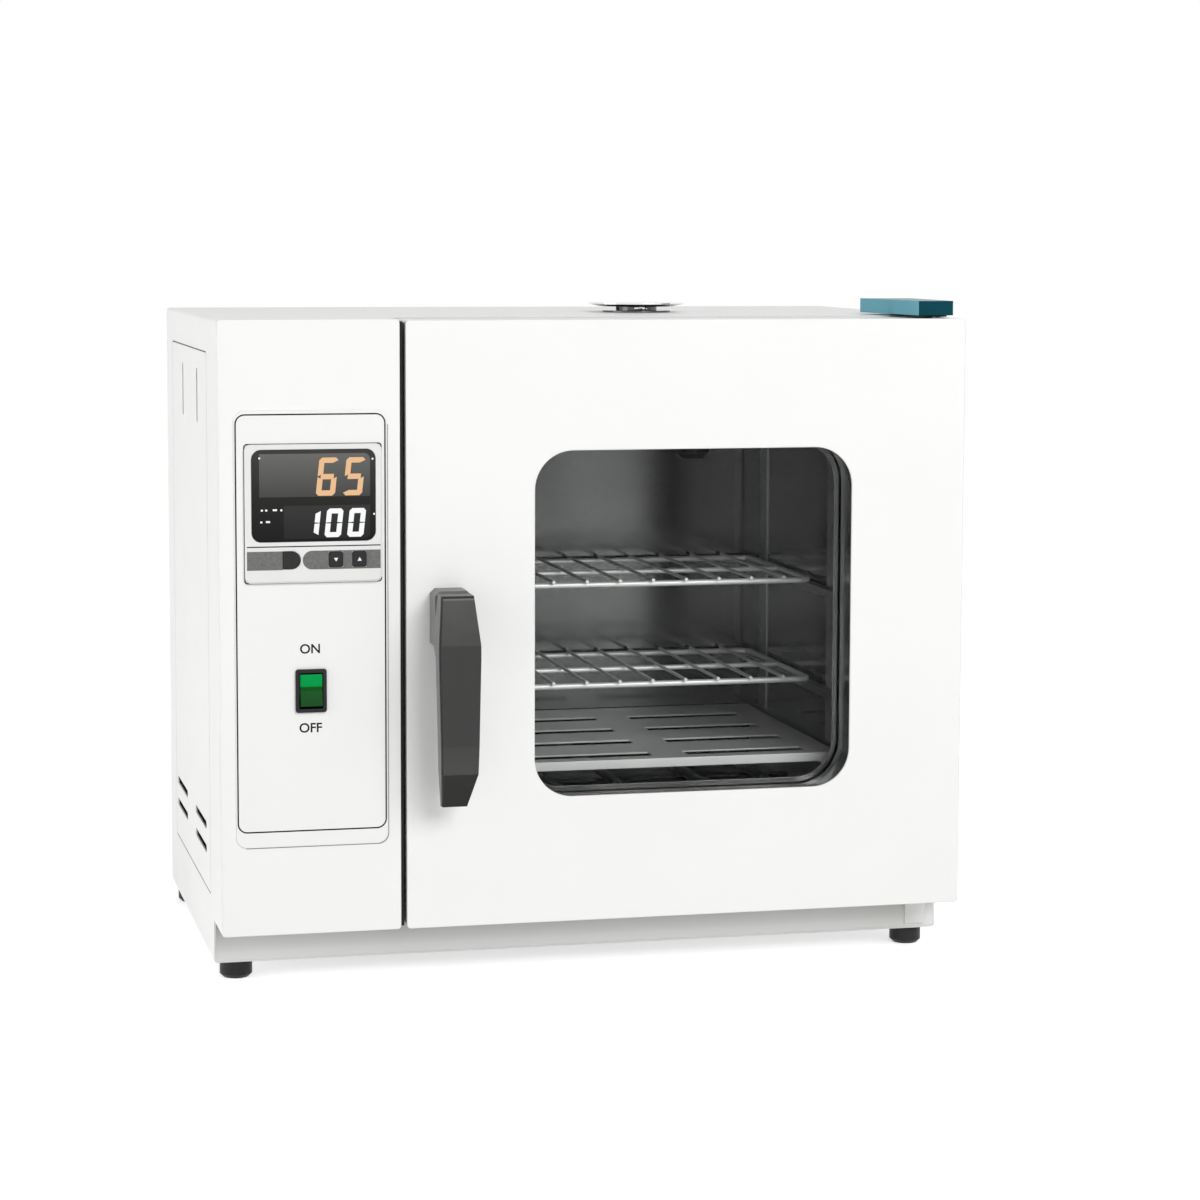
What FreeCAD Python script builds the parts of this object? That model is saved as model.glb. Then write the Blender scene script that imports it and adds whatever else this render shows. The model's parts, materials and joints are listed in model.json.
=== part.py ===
import FreeCAD, Part
import os
import re
import Sketcher

# A bench laboratory oven: a cabinet with a control section on the left and a windowed door on the right.
# Lengths are millimetres. X runs to the right, Y runs from the front to the back and Z runs up.
# Pieces are drawn with Y = 0 on the front of the door and Z = 0 on the bench. Each finished piece is
# then moved so that the origin lies under the middle of the whole oven.

SIZES = [
    # Cabinet
    ("cabinet_width", 625.0),
    ("cabinet_depth", 400.0),
    ("cabinet_height", 546.0),
    ("cabinet_corner", 3.0),
    ("steel_sheet", 1.5),
    ("foot_height", 16.0),
    ("foot_diameter", 27.0),
    ("foot_inset", 20.0),
    ("rear_foot_inset", 17.0),
    ("foot_rounding", 3.0),
    ("overshoot", 1.0),
    # Front
    ("front_base", 50.0),
    ("control_width", 146.0),
    ("column_gap", 5.0),
    ("strip_width", 2.2),
    ("strip_recess", 4.0),
    ("strip_shift", 0.4),
    ("strip_end_gap", 2.0),
    ("panel_lip_side", 15.0),
    ("panel_lip_end", 25.0),
    ("panel_lip_corner", 8.0),
    # Door
    ("door_thickness", 50.0),
    ("door_gap", 7.0),
    ("door_top_gap", 1.0),
    ("window_side_inset", 15.0),
    ("window_end_inset", 32.5),
    ("window_corner", 32.0),
    ("glass_thickness", 4.0),
    ("glass_overlap", 15.0),
    ("reveal_setback", 5.0),
    # Chamber
    ("wall_left", 91.0),
    ("wall_right", 83.0),
    ("chamber_height", 350.0),
    ("chamber_depth", 290.0),
    ("chamber_corner", 6.0),
    ("chamber_middle", 296.5),
    ("liner_sheet", 1.2),
    ("liner_flange", 18.0),
    ("seal_width", 12.0),
    ("seal_margin", 4.0),
    ("seal_clearance", 0.3),
    # Shelves and floor
    ("upper_shelf_level", 312.0),
    ("lower_shelf_level", 224.0),
    ("shelf_front", 83.0),
    ("shelf_back_gap", 7.0),
    ("shelf_side_gap", 2.0),
    ("shelf_rod", 5.0),
    ("shelf_cross_rod", 4.4),
    ("shelf_bend", 10.0),
    ("shelf_wire", 3.0),
    ("wire_border", 26.3),
    ("wire_tip", 4.0),
    ("weld_depth", 0.5),
    ("ledge_width", 10.0),
    ("ledge_web", 8.0),
    ("ledge_overrun", 20.0),
    ("rack_inset", 33.0),
    ("rack_post", 20.0),
    ("rack_top_gap", 30.0),
    ("rack_lift", 3.0),
    ("floor_level", 172.0),
    ("floor_front_gap", 5.0),
    ("floor_back_gap", 3.0),
    ("floor_side_gap", 1.0),
    ("floor_lip", 5.0),
    ("floor_leg", 12.0),
    ("floor_return", 14.0),
    ("floor_slot_border", 30.0),
    ("floor_slot_width", 18.0),
    ("floor_slot_gap", 30.0),
    ("floor_slot_pitch", 66.0),
    ("floor_slot_first", 24.0),
    ("heater_tube", 8.0),
    ("heater_bend", 30.0),
    ("heater_spread", 66.0),
    ("heater_lift", 20.0),
    ("heater_front", 30.0),
    ("heater_rest_front", 101.5),
    ("heater_rest_pitch", 130.5),
    ("heater_rest_width", 10.0),
    ("heater_rest_inset", 20.0),
    # Vent and sensor
    ("vent_back", 145.0),
    ("vent_bore", 30.0),
    ("vent_wall", 3.0),
    ("vent_stem", 5.0),
    ("vent_flange", 60.0),
    ("vent_cap_diameter", 84.0),
    ("vent_cap_thickness", 3.0),
    ("vent_cap_rim", 2.0),
    ("vent_cap_lip", 1.2),
    ("vent_cap_dish", 8.0),
    ("vent_cap_wall", 1.5),
    ("vent_cap_gap", 0.3),
    ("vent_cap_window", 7.0),
    ("vent_skirt", 12.0),
    ("vent_window", 12.0),
    ("vent_window_margin", 0.6),
    ("running_clearance", 0.08),
    ("sensor_right", 52.0),
    ("sensor_rod", 6.0),
    ("sensor_drop", 39.0),
    ("sensor_guard", 29.0),
    ("sensor_guard_height", 16.0),
    ("sensor_guard_round", 5.0),
    # Controls, measured down from the cabinet top and in from its left side
    ("plate_left", 12.0),
    ("plate_width", 123.5),
    ("plate_drop", 72.0),
    ("plate_height", 352.0),
    ("plate_thickness", 0.8),
    ("plate_corner", 9.0),
    ("controller_left", 20.5),
    ("controller_width", 110.0),
    ("controller_drop", 99.0),
    ("controller_height", 111.0),
    ("controller_proud", 4.2),
    ("controller_corner", 5.0),
    ("controller_rounding", 1.5),
    ("controller_case_width", 92.0),
    ("controller_case_fit", 0.5),
    ("controller_case_depth", 62.0),
    ("display_width", 100.0),
    ("display_height", 74.0),
    ("display_inset", 4.0),
    ("display_corner", 8.0),
    ("display_fit", 0.2),
    ("display_recess", 0.6),
    ("display_thickness", 1.6),
    ("button_level", 92.5),
    ("button_height", 12.0),
    ("button_width", 11.0),
    ("button_corner", 1.2),
    ("button_rounding", 0.6),
    ("set_button_across", 37.0),
    ("down_button_across", 72.5),
    ("up_button_across", 91.5),
    ("set_button_run", 7.0),
    ("set_button_height", 14.0),
    ("button_clearance", 0.3),
    ("button_proud", 1.2),
    ("button_thickness", 2.8),
    ("switch_across", 73.0),
    ("switch_drop", 297.5),
    ("switch_width", 25.0),
    ("switch_height", 35.0),
    ("switch_rim", 3.0),
    ("switch_wall", 1.3),
    ("switch_fit", 0.2),
    ("switch_corner", 2.0),
    ("switch_room", 4.0),
    ("switch_proud", 2.0),
    ("switch_depth", 28.0),
    ("rocker_clearance", 0.6),
    ("rocker_tilt", 8.0),
    ("rocker_depth", 8.0),
    ("rocker_nose", 4.2),
    ("rocker_dip", 2.6),
    ("rocker_end_gap", 1.6),
    ("rocker_taper", 2.0),
    ("rocker_pin", 3.0),
    ("rocker_pin_reach", 0.8),
    # Handle and latch
    ("handle_across", 185.0),
    ("latch_level", 306.0),
    ("handle_base_width", 30.0),
    ("handle_base_height", 49.0),
    ("handle_base_depth", 24.0),
    ("handle_chamfer", 5.0),
    ("handle_bevel", 4.0),
    ("handle_base_rise", 2.0),
    ("handle_gap", 0.5),
    ("handle_reach", 57.0),
    ("handle_head", 21.0),
    ("handle_drop", 151.5),
    ("grip_top_width", 26.5),
    ("grip_width", 34.0),
    ("grip_crease_width", 31.0),
    ("grip_foot_width", 30.0),
    ("grip_end_width", 21.5),
    ("grip_shoulder_drop", 17.5),
    ("grip_neck_drop", 28.0),
    ("grip_crease_drop", 98.5),
    ("grip_foot_drop", 121.0),
    ("grip_top_slope", 11.0),
    ("grip_slope", 1.5),
    ("grip_end_slope", 28.0),
    ("grip_cover_inset", 0.8),
    ("grip_back", 12.5),
    ("grip_cover", 6.0),
    ("grip_joint", 0.1),
    ("spindle_diameter", 10.0),
    ("spindle_in_grip", 8.0),
    ("spindle_gap", 0.5),
    ("tongue_length", 36.0),
    ("tongue_width", 10.0),
    ("tongue_thickness", 5.0),
    ("tongue_clearance", 1.5),
    ("tongue_corner", 3.0),
    ("latch_room", 6.0),
    ("latch_slot_margin", 4.0),
    ("latch_slot_corner", 3.0),
    ("latch_frame_margin", 1.0),
    ("keeper_thickness", 3.0),
    ("keeper_border", 16.0),
    # Hinges
    ("pivot_from_right", 19.0),
    ("pivot_back", 21.0),
    ("hinge_pin", 7.0),
    ("hinge_pin_reach", 20.0),
    ("hinge_plate", 3.0),
    ("hinge_arm", 18.0),
    ("hinge_arm_gap", 1.0),
    ("hinge_arm_lift", 0.6),
    ("hinge_foot", 30.0),
    ("hinge_notch", 5.5),
    ("hinge_notch_reach", 35.0),
    ("hinge_collar", 2.5),
    ("lower_pin_reach", 16.0),
    ("hinge_block", 30.0),
    ("hinge_block_height", 22.0),
    ("hinge_block_depth", 36.0),
    ("hinge_block_shift", 2.0),
    ("cap_front_width", 31.0),
    ("cap_back_width", 46.0),
    ("cap_length", 112.0),
    ("cap_height", 12.0),
    ("cap_lift", 1.5),
    ("cap_from_right", 10.0),
    ("cap_corner", 2.0),
    ("cap_setback", 2.0),
    ("cap_wall", 1.5),
    ("cap_fit", 0.5),
    # Sides and back
    ("cover_front", 79.5),
    ("cover_length", 270.0),
    ("cover_base", 70.0),
    ("cover_height", 447.0),
    ("cover_gap", 1.0),
    ("cover_overlap", 12.0),
    ("cover_corner", 4.0),
    ("cover_slot_height", 46.0),
    ("cover_slot_width", 8.0),
    ("cover_slot_level", 479.0),
    ("cover_slot_front", 71.5),
    ("cover_slot_pitch", 112.0),
    ("louvre_length", 83.0),
    ("louvre_width", 6.5),
    ("louvre_level", 101.5),
    ("louvre_pitch", 20.0),
    ("louvre_front", 68.5),
    ("louvre_spread", 149.0),
    ("back_slot_length", 80.0),
    ("back_slot_width", 4.0),
    ("back_slot_pitch", 12.0),
    ("back_slot_level", 400.0),
    ("inlet_across", 60.0),
    ("inlet_level", 75.0),
    ("inlet_width", 48.0),
    ("inlet_height", 34.0),
    ("inlet_flange", 2.0),
    ("inlet_corner", 4.0),
    ("inlet_depth", 24.0),
    ("inlet_lip", 4.0),
    ("inlet_side_wall", 4.0),
    ("inlet_end_wall", 3.0),
    ("inlet_shroud", 17.0),
    ("pin_pitch", 7.0),
    ("pin_offset", 2.0),
    ("pin_width", 2.0),
    ("pin_height", 5.0),
    ("pin_length", 14.0),
    ("relay_width", 24.0),
    ("relay_length", 58.0),
    ("relay_height", 45.0),
    ("relay_back", 130.0),
    ("terminal_across", 30.0),
    ("terminal_back", 50.0),
    ("terminal_width", 26.0),
    ("terminal_length", 90.0),
    ("terminal_height", 24.0),
]

WIRES = 9
SLANT = "cos(45 deg)"
SLOT_ROWS = 4

# Lengths that follow from the sizes above
FOLLOWING = {
    "chamber_width": "(cabinet_width - control_width - column_gap - wall_left - wall_right)",
    "window_width": "(chamber_width - 2 * window_side_inset)",
    "window_height": "(chamber_height - 2 * window_end_inset)",
    "floor_slot_length": "((chamber_width - floor_slot_gap) / 2 - floor_slot_border)",
    "grip_near": "(handle_base_depth + handle_gap)",
    "shelf_span": "(chamber_width - 2 * liner_sheet - 2 * shelf_side_gap)",
    "shelf_length": "(chamber_depth - shelf_front - shelf_back_gap)",
    "wire_pitch": "((shelf_span - shelf_rod - 2 * wire_border) / %d)" % (WIRES - 1),
}

# Places that several pieces share, written with the sizes above
FRAME_MOVE = "-(cabinet_depth + inlet_flange - handle_reach) / 2"
LEFT = "(-cabinet_width / 2)"
RIGHT = "(cabinet_width / 2)"
BODY_FRONT = "(door_thickness + door_gap)"
BODY_DEPTH = "(cabinet_depth - door_thickness - door_gap)"
INSIDE_FRONT = "(door_thickness + door_gap + steel_sheet)"
INSIDE_BACK = "(cabinet_depth - steel_sheet)"
INSIDE_DEPTH = "(cabinet_depth - door_thickness - door_gap - 2 * steel_sheet)"
INSIDE_BASE = "(foot_height + steel_sheet)"
INSIDE_HEIGHT = "(cabinet_height - foot_height - 2 * steel_sheet)"
CHAMBER_X = "(cabinet_width / 2 - wall_right - chamber_width / 2)"
CHAMBER_LEFT = "(cabinet_width / 2 - wall_right - chamber_width)"
CHAMBER_RIGHT = "(cabinet_width / 2 - wall_right)"
CHAMBER_BASE = "(chamber_middle - chamber_height / 2)"
CHAMBER_TOP = "(chamber_middle + chamber_height / 2)"
CHAMBER_BACK = "(door_thickness + door_gap + chamber_depth)"
DOOR_LEFT = "(-cabinet_width / 2 + control_width + column_gap)"
DOOR_WIDTH = "(cabinet_width - control_width - column_gap)"
DOOR_X = "(control_width / 2 + column_gap / 2)"
DOOR_TOP = "(cabinet_height - door_top_gap)"
DOOR_HEIGHT = "(cabinet_height - door_top_gap - front_base)"
DOOR_Z = "((cabinet_height - door_top_gap + front_base) / 2)"
DOOR_INSIDE = "(door_thickness - steel_sheet)"
FRONT_HEIGHT = "(cabinet_height - front_base)"
FRONT_Z = "((cabinet_height + front_base) / 2)"
LATCH_X = "(-cabinet_width / 2 + handle_across)"
PIVOT_X = "(cabinet_width / 2 - pivot_from_right)"
VENT_Y = "(door_thickness + door_gap + vent_back)"
CONTROL_X = "(-cabinet_width / 2 + controller_left + controller_width / 2)"
CONTROL_Z = "(cabinet_height - controller_drop - controller_height / 2)"
SWITCH_X = "(-cabinet_width / 2 + switch_across)"
SWITCH_Z = "(cabinet_height - switch_drop)"
BEZEL_FRONT = "(-plate_thickness - controller_proud)"
SHELF_FRONT = "(door_thickness + door_gap + shelf_front)"

PLANES = {"front": "XZ_Plane", "side": "YZ_Plane", "top": "XY_Plane"}
TURNS = {
    "x": FreeCAD.Rotation(FreeCAD.Vector(0, 1, 0), 90),
    "y": FreeCAD.Rotation(FreeCAD.Vector(1, 0, 0), -90),
    "z": FreeCAD.Rotation(),
}

doc = FreeCAD.newDocument("LaboratoryOven")
sheet = doc.addObject("Spreadsheet::Sheet", "Sizes")
for row, (alias, number) in enumerate(SIZES, start=1):
    sheet.set("A%d" % row, alias)
    sheet.set("B%d" % row, str(number))
    sheet.setAlias("B%d" % row, alias)
doc.recompute()
ALIASES = {alias for alias, number in SIZES}
nodes = []
own_depth = {}


def linked(text):
    """Return an expression whose size names point at the sheet, with the lengths that follow written out."""
    def point(match):
        word = match.group(0)
        if word in FOLLOWING:
            return linked(FOLLOWING[word])
        return "Sizes." + word if word in ALIASES else word
    return re.sub(r"[a-z][a-z_]*", point, text)


def size(text):
    """Return the present number of an expression."""
    return float(sheet.evalExpression(linked(text)))


def bind(thing, **links):
    """Tie properties of an object to the sheet. A double underscore stands for a dot."""
    for path, text in links.items():
        thing.setExpression(path.replace("__", "."), linked(text))


def node(thing, label):
    """Keep a finished piece under its own name and move it to the frame of the whole oven."""
    thing.Label = label
    bind(thing, Placement__Base__y="%s %s" % (own_depth.get(thing.Name, "0"), FRAME_MOVE))
    nodes.append(thing)


# Simple solids and the ways to join them

def set_at(piece, x, y, z):
    """Tie the place of a solid to the sheet, and remember how far back it stands."""
    bind(piece, Placement__Base__x=x, Placement__Base__y=y, Placement__Base__z=z)
    own_depth[piece.Name] = y


def box(x, y, z, width, depth, height):
    """Return a block whose lowest corner is at x, y, z."""
    piece = doc.addObject("Part::Box", "Block")
    bind(piece, Length=width, Width=depth, Height=height)
    set_at(piece, x, y, z)
    return piece


def rod(axis, x, y, z, diameter, length):
    """Return a cylinder that starts at x, y, z and runs along an axis."""
    piece = doc.addObject("Part::Cylinder", "Rod")
    piece.Placement = FreeCAD.Placement(FreeCAD.Vector(), TURNS[axis])
    bind(piece, Radius="(%s) / 2" % diameter, Height=length)
    set_at(piece, x, y, z)
    return piece


def fused(pieces):
    """Return one solid made of several."""
    whole = doc.addObject("Part::MultiFuse", "Joined")
    whole.Shapes = pieces
    whole.Refine = True
    return whole


def cut(base, tools):
    """Return a solid with other solids taken out of it."""
    result = doc.addObject("Part::Cut", "Cut")
    result.Base = base
    result.Tool = tools[0] if len(tools) == 1 else fused(tools)
    result.Refine = True
    return result


def rounded(piece, radius, wanted):
    """Return a solid with the edges rounded that the test picks out."""
    doc.recompute()
    edges = []
    for number, edge in enumerate(piece.Shape.Edges, start=1):
        if wanted(edge):
            edges.append((number, size(radius), size(radius)))
    result = doc.addObject("Part::Fillet", "Rounded")
    result.Base = piece
    result.Edges = edges
    return result


# Sketches and features

def new_body(name):
    """Return an empty body."""
    return doc.addObject("PartDesign::Body", name)


def new_sketch(body, view, across, up, along):
    """Return a sketch that faces one way, with its own origin moved across, up and along the view."""
    sketch = body.newObject("Sketcher::SketchObject", "Sketch")
    role = PLANES[view]
    plane = [item for item in body.Origin.OriginFeatures if item.Role == role][0]
    sketch.AttachmentSupport = [(plane, "")]
    sketch.MapMode = "FlatFace"
    depth = "-(%s)" % along if view == "front" else along
    bind(sketch, AttachmentOffset__Base__x=across, AttachmentOffset__Base__y=up)
    bind(sketch, AttachmentOffset__Base__z=depth)
    return sketch


def tie(sketch, constraint, text):
    """Add a constraint to a sketch and tie its value to the sheet."""
    number = sketch.addConstraint(constraint)
    sketch.setExpression("Constraints[%d]" % number, linked(text))


def draw_rectangle(sketch, width, height, corner=None):
    """Draw a rectangle about the sketch's origin, with round corners where a radius is given."""
    half_w = size(width) / 2
    half_h = size(height) / 2
    radius = size(corner) if corner else 0.0
    vector = FreeCAD.Vector
    sides = [
        ((-half_w + radius, -half_h), (half_w - radius, -half_h)),
        ((half_w, -half_h + radius), (half_w, half_h - radius)),
        ((half_w - radius, half_h), (-half_w + radius, half_h)),
        ((-half_w, half_h - radius), (-half_w, -half_h + radius)),
    ]
    for start, end in sides:
        sketch.addGeometry(Part.LineSegment(vector(*start, 0), vector(*end, 0)))
    if corner:
        centres = [
            (half_w - radius, -half_h + radius, 270),
            (half_w - radius, half_h - radius, 0),
            (-half_w + radius, half_h - radius, 90),
            (-half_w + radius, -half_h + radius, 180),
        ]
        for x, y, angle in centres:
            circle = Part.Circle(vector(x, y, 0), vector(0, 0, 1), radius)
            start = FreeCAD.Units.Quantity("%d deg" % angle).getValueAs("rad").Value
            quarter = FreeCAD.Units.Quantity("90 deg").getValueAs("rad").Value
            sketch.addGeometry(Part.ArcOfCircle(circle, start, start + quarter))
        for side in range(4):
            sketch.addConstraint(Sketcher.Constraint("Tangent", side, 2, side + 4, 1))
            sketch.addConstraint(Sketcher.Constraint("Tangent", side + 4, 2, (side + 1) % 4, 1))
        for side in range(5, 8):
            sketch.addConstraint(Sketcher.Constraint("Equal", 4, side))
        tie(sketch, Sketcher.Constraint("Radius", 4, radius), corner)
    else:
        for side in range(4):
            sketch.addConstraint(Sketcher.Constraint("Coincident", side, 2, (side + 1) % 4, 1))
    sketch.addConstraint(Sketcher.Constraint("Horizontal", 0))
    sketch.addConstraint(Sketcher.Constraint("Vertical", 1))
    sketch.addConstraint(Sketcher.Constraint("Horizontal", 2))
    sketch.addConstraint(Sketcher.Constraint("Vertical", 3))
    tie(sketch, Sketcher.Constraint("DistanceX", 3, 1, -1, 1, half_w), "(%s) / 2" % width)
    tie(sketch, Sketcher.Constraint("DistanceX", -1, 1, 1, 1, half_w), "(%s) / 2" % width)
    tie(sketch, Sketcher.Constraint("DistanceY", 0, 1, -1, 1, half_h), "(%s) / 2" % height)
    tie(sketch, Sketcher.Constraint("DistanceY", -1, 1, 2, 1, half_h), "(%s) / 2" % height)


def draw_circle(sketch, diameter):
    """Draw a circle about the sketch's origin."""
    circle = Part.Circle(FreeCAD.Vector(), FreeCAD.Vector(0, 0, 1), size(diameter) / 2)
    sketch.addGeometry(circle)
    sketch.addConstraint(Sketcher.Constraint("Coincident", 0, 3, -1, 1))
    tie(sketch, Sketcher.Constraint("Diameter", 0, size(diameter)), diameter)


def draw_outline(sketch, points, closed=True):
    """Draw straight lines through points, each a pair of expressions, and close them into an outline."""
    spots = [FreeCAD.Vector(size(x), size(y), 0) for x, y in points]
    count = len(points)
    lines = count if closed else count - 1
    for number in range(lines):
        sketch.addGeometry(Part.LineSegment(spots[number], spots[(number + 1) % count]))
    for number in range(count if closed else lines - 1):
        sketch.addConstraint(Sketcher.Constraint("Coincident", number, 2, (number + 1) % count, 1))
    for number, (x, y) in enumerate(points):
        line, end = (number, 1) if number < lines else (number - 1, 2)
        spot = spots[number]
        for kind, text, value, axis in (("DistanceX", x, spot.x, -2), ("DistanceY", y, spot.y, -1)):
            if abs(value) < 1e-9:
                sketch.addConstraint(Sketcher.Constraint("PointOnObject", line, end, axis))
            elif value > 0:
                tie(sketch, Sketcher.Constraint(kind, -1, 1, line, end, value), text)
            else:
                tie(sketch, Sketcher.Constraint(kind, line, end, -1, 1, -value), "-(%s)" % text)


def pad(body, view, sketch, length):
    """Raise a sketch into a solid, towards the back, the right or the top."""
    feature = body.newObject("PartDesign::Pad", "Pad")
    feature.Profile = sketch
    feature.Reversed = view == "front"
    bind(feature, Length=length)
    doc.recompute()
    return feature


def pocket(body, view, sketch, length):
    """Cut a sketch into the solid, towards the back, the right or the top, and see that it cuts."""
    before = body.Shape.Volume
    feature = body.newObject("PartDesign::Pocket", "Pocket")
    feature.Profile = sketch
    feature.Reversed = view != "front"
    bind(feature, Length=length)
    doc.recompute()
    if not body.Shape.Volume < before - 1e-6:
        raise RuntimeError("a pocket of %s cuts nothing" % body.Name)
    return feature


def pad_rectangle(body, view, across, up, along, width, height, length, corner=None):
    """Add a block with a rectangular face to a body."""
    sketch = new_sketch(body, view, across, up, along)
    draw_rectangle(sketch, width, height, corner)
    return pad(body, view, sketch, length)


def cut_rectangle(body, view, across, up, along, width, height, length, corner=None):
    """Cut a rectangular opening in a body."""
    sketch = new_sketch(body, view, across, up, along)
    draw_rectangle(sketch, width, height, corner)
    return pocket(body, view, sketch, length)


def cut_circle(body, view, across, up, along, diameter, length):
    """Cut a round opening in a body."""
    sketch = new_sketch(body, view, across, up, along)
    draw_circle(sketch, diameter)
    return pocket(body, view, sketch, length)


def repeat(body, feature, axis, pitch, count):
    """Repeat a feature in a row along one axis of its own sketch."""
    pattern = body.newObject("PartDesign::LinearPattern", "Row")
    pattern.Originals = [feature]
    pattern.Direction = (feature.Profile[0], [axis])
    bind(pattern, Length="(%s) * %d" % (pitch, count - 1))
    pattern.Occurrences = count
    body.Tip = pattern
    doc.recompute()
    return pattern


def ring_of(body, feature, count):
    """Repeat a feature around the upright axis of the body."""
    pattern = body.newObject("PartDesign::PolarPattern", "Ring")
    pattern.Originals = [feature]
    axis = [item for item in body.Origin.OriginFeatures if item.Role == "Z_Axis"][0]
    pattern.Axis = (axis, [""])
    pattern.Angle = 360
    pattern.Occurrences = count
    body.Tip = pattern
    doc.recompute()
    return pattern


def revolve(body, points):
    """Turn an outline around the upright axis of the body."""
    sketch = new_sketch(body, "front", "0", "0", "0")
    draw_outline(sketch, points)
    feature = body.newObject("PartDesign::Revolution", "Revolution")
    feature.Profile = sketch
    feature.ReferenceAxis = (sketch, ["V_Axis"])
    feature.Angle = 360
    doc.recompute()
    return feature


def bent_rod(view, points, level, diameter, closed):
    """Return a round rod that lies flat and follows straight runs from a start, mitred between them."""
    body = new_body("BentRod")
    route = new_sketch(body, "top", "0", "0", level)
    draw_outline(route, points, closed)
    x, y = points[0]
    across, along = (x, y) if view == "front" else (y, x)
    section = new_sketch(body, view, across, level, along)
    draw_circle(section, diameter)
    doc.recompute()
    pipe = body.newObject("PartDesign::AdditivePipe", "Pipe")
    pipe.Profile = section
    pipe.Spine = route
    pipe.Transition = "Right corner"
    return body


def edge_names(shape, wanted):
    """Return the names of the edges that the test picks out."""
    return ["Edge%d" % number for number, edge in enumerate(shape.Edges, start=1) if wanted(edge)]


def round_edges(body, radius, wanted):
    """Round the edges of a body that the test picks out."""
    sharp = body.Tip
    feature = body.newObject("PartDesign::Fillet", "Rounding")
    feature.Base = (sharp, edge_names(sharp.Shape, wanted))
    bind(feature, Radius=radius)
    doc.recompute()
    return feature


def bevel_edges(body, breadth, wanted):
    """Bevel the edges of a body that the test picks out."""
    sharp = body.Tip
    feature = body.newObject("PartDesign::Chamfer", "Bevel")
    feature.Base = (sharp, edge_names(sharp.Shape, wanted))
    bind(feature, Size=breadth)
    doc.recompute()
    return feature


def runs_along(edge, axis):
    """Tell whether an edge is a straight line along an axis."""
    if edge.Curve.TypeId != "Part::GeomLine":
        return False
    return abs(abs(getattr(edge.Curve.Direction, axis)) - 1) < 1e-6


# Cabinet

def cabinet_shell():
    """The outer wrap: top, bottom and both sides, with the side opening and the vent hole."""
    body = new_body("CabinetShell")
    height = "cabinet_height - foot_height"
    middle = "(cabinet_height + foot_height) / 2"
    pad_rectangle(body, "front", "0", middle, BODY_FRONT, "cabinet_width", height, BODY_DEPTH,
                  "cabinet_corner")
    cut_rectangle(body, "front", "0", middle, BODY_FRONT, "cabinet_width - 2 * steel_sheet",
                  "%s - 2 * steel_sheet" % height, BODY_DEPTH, "cabinet_corner - steel_sheet")
    cut_rectangle(body, "side", "cover_front + cover_length / 2", "cover_base + cover_height / 2",
                  "%s - overshoot" % LEFT, "cover_length + 2 * cover_gap", "cover_height + 2 * cover_gap",
                  "steel_sheet + 2 * overshoot", "cover_corner")
    cut_circle(body, "top", CHAMBER_X, VENT_Y, "cabinet_height - 2 * steel_sheet",
               "vent_bore + 2 * vent_wall", "3 * steel_sheet")
    node(body, "cabinet_shell")


def front_frame():
    """The sheet behind the door, with the chamber mouth, the latch slot and the control opening."""
    body = new_body("FrontFrame")
    middle = "(cabinet_height + foot_height) / 2"
    pad_rectangle(body, "front", "0", middle, BODY_FRONT, "cabinet_width - 2 * steel_sheet", INSIDE_HEIGHT,
                  "steel_sheet", "cabinet_corner - steel_sheet")
    cut_rectangle(body, "front", CHAMBER_X, "chamber_middle", BODY_FRONT, "chamber_width + 2 * liner_sheet",
                  "chamber_height + 2 * liner_sheet", "steel_sheet", "chamber_corner + liner_sheet")
    cut_rectangle(body, "front", LATCH_X, "latch_level", BODY_FRONT,
                  "tongue_width + 2 * (latch_slot_margin + latch_frame_margin)",
                  "tongue_length + 2 * (latch_slot_margin + latch_frame_margin)", "steel_sheet",
                  "latch_slot_corner")
    cut_rectangle(body, "front", "%s + control_width / 2" % LEFT, FRONT_Z, BODY_FRONT,
                  "control_width - 2 * panel_lip_side", "%s - 2 * panel_lip_end" % FRONT_HEIGHT,
                  "steel_sheet", "panel_lip_corner")
    node(body, "front_frame")


def back_panel():
    """The back sheet, with a row of cooling slots and the opening for the mains inlet."""
    body = new_body("BackPanel")
    middle = "(cabinet_height + foot_height) / 2"
    pad_rectangle(body, "front", "0", middle, INSIDE_BACK, "cabinet_width - 2 * steel_sheet", INSIDE_HEIGHT,
                  "steel_sheet", "cabinet_corner - steel_sheet")
    cut_rectangle(body, "front", "%s + inlet_across" % LEFT, "inlet_level", INSIDE_BACK,
                  "inlet_width - 2 * inlet_lip", "inlet_height - 2 * inlet_lip", "steel_sheet")
    slot = cut_rectangle(body, "front", "%s + control_width / 2" % LEFT, "back_slot_level", INSIDE_BACK,
                         "back_slot_length", "back_slot_width", "steel_sheet")
    repeat(body, slot, "V_Axis", "back_slot_pitch", 8)
    node(body, "back_panel")


def compartment_wall():
    """The upright sheet between the control compartment and the insulated chamber."""
    node(box(DOOR_LEFT, INSIDE_FRONT, INSIDE_BASE, "steel_sheet", INSIDE_DEPTH, INSIDE_HEIGHT),
         "compartment_wall")


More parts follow.
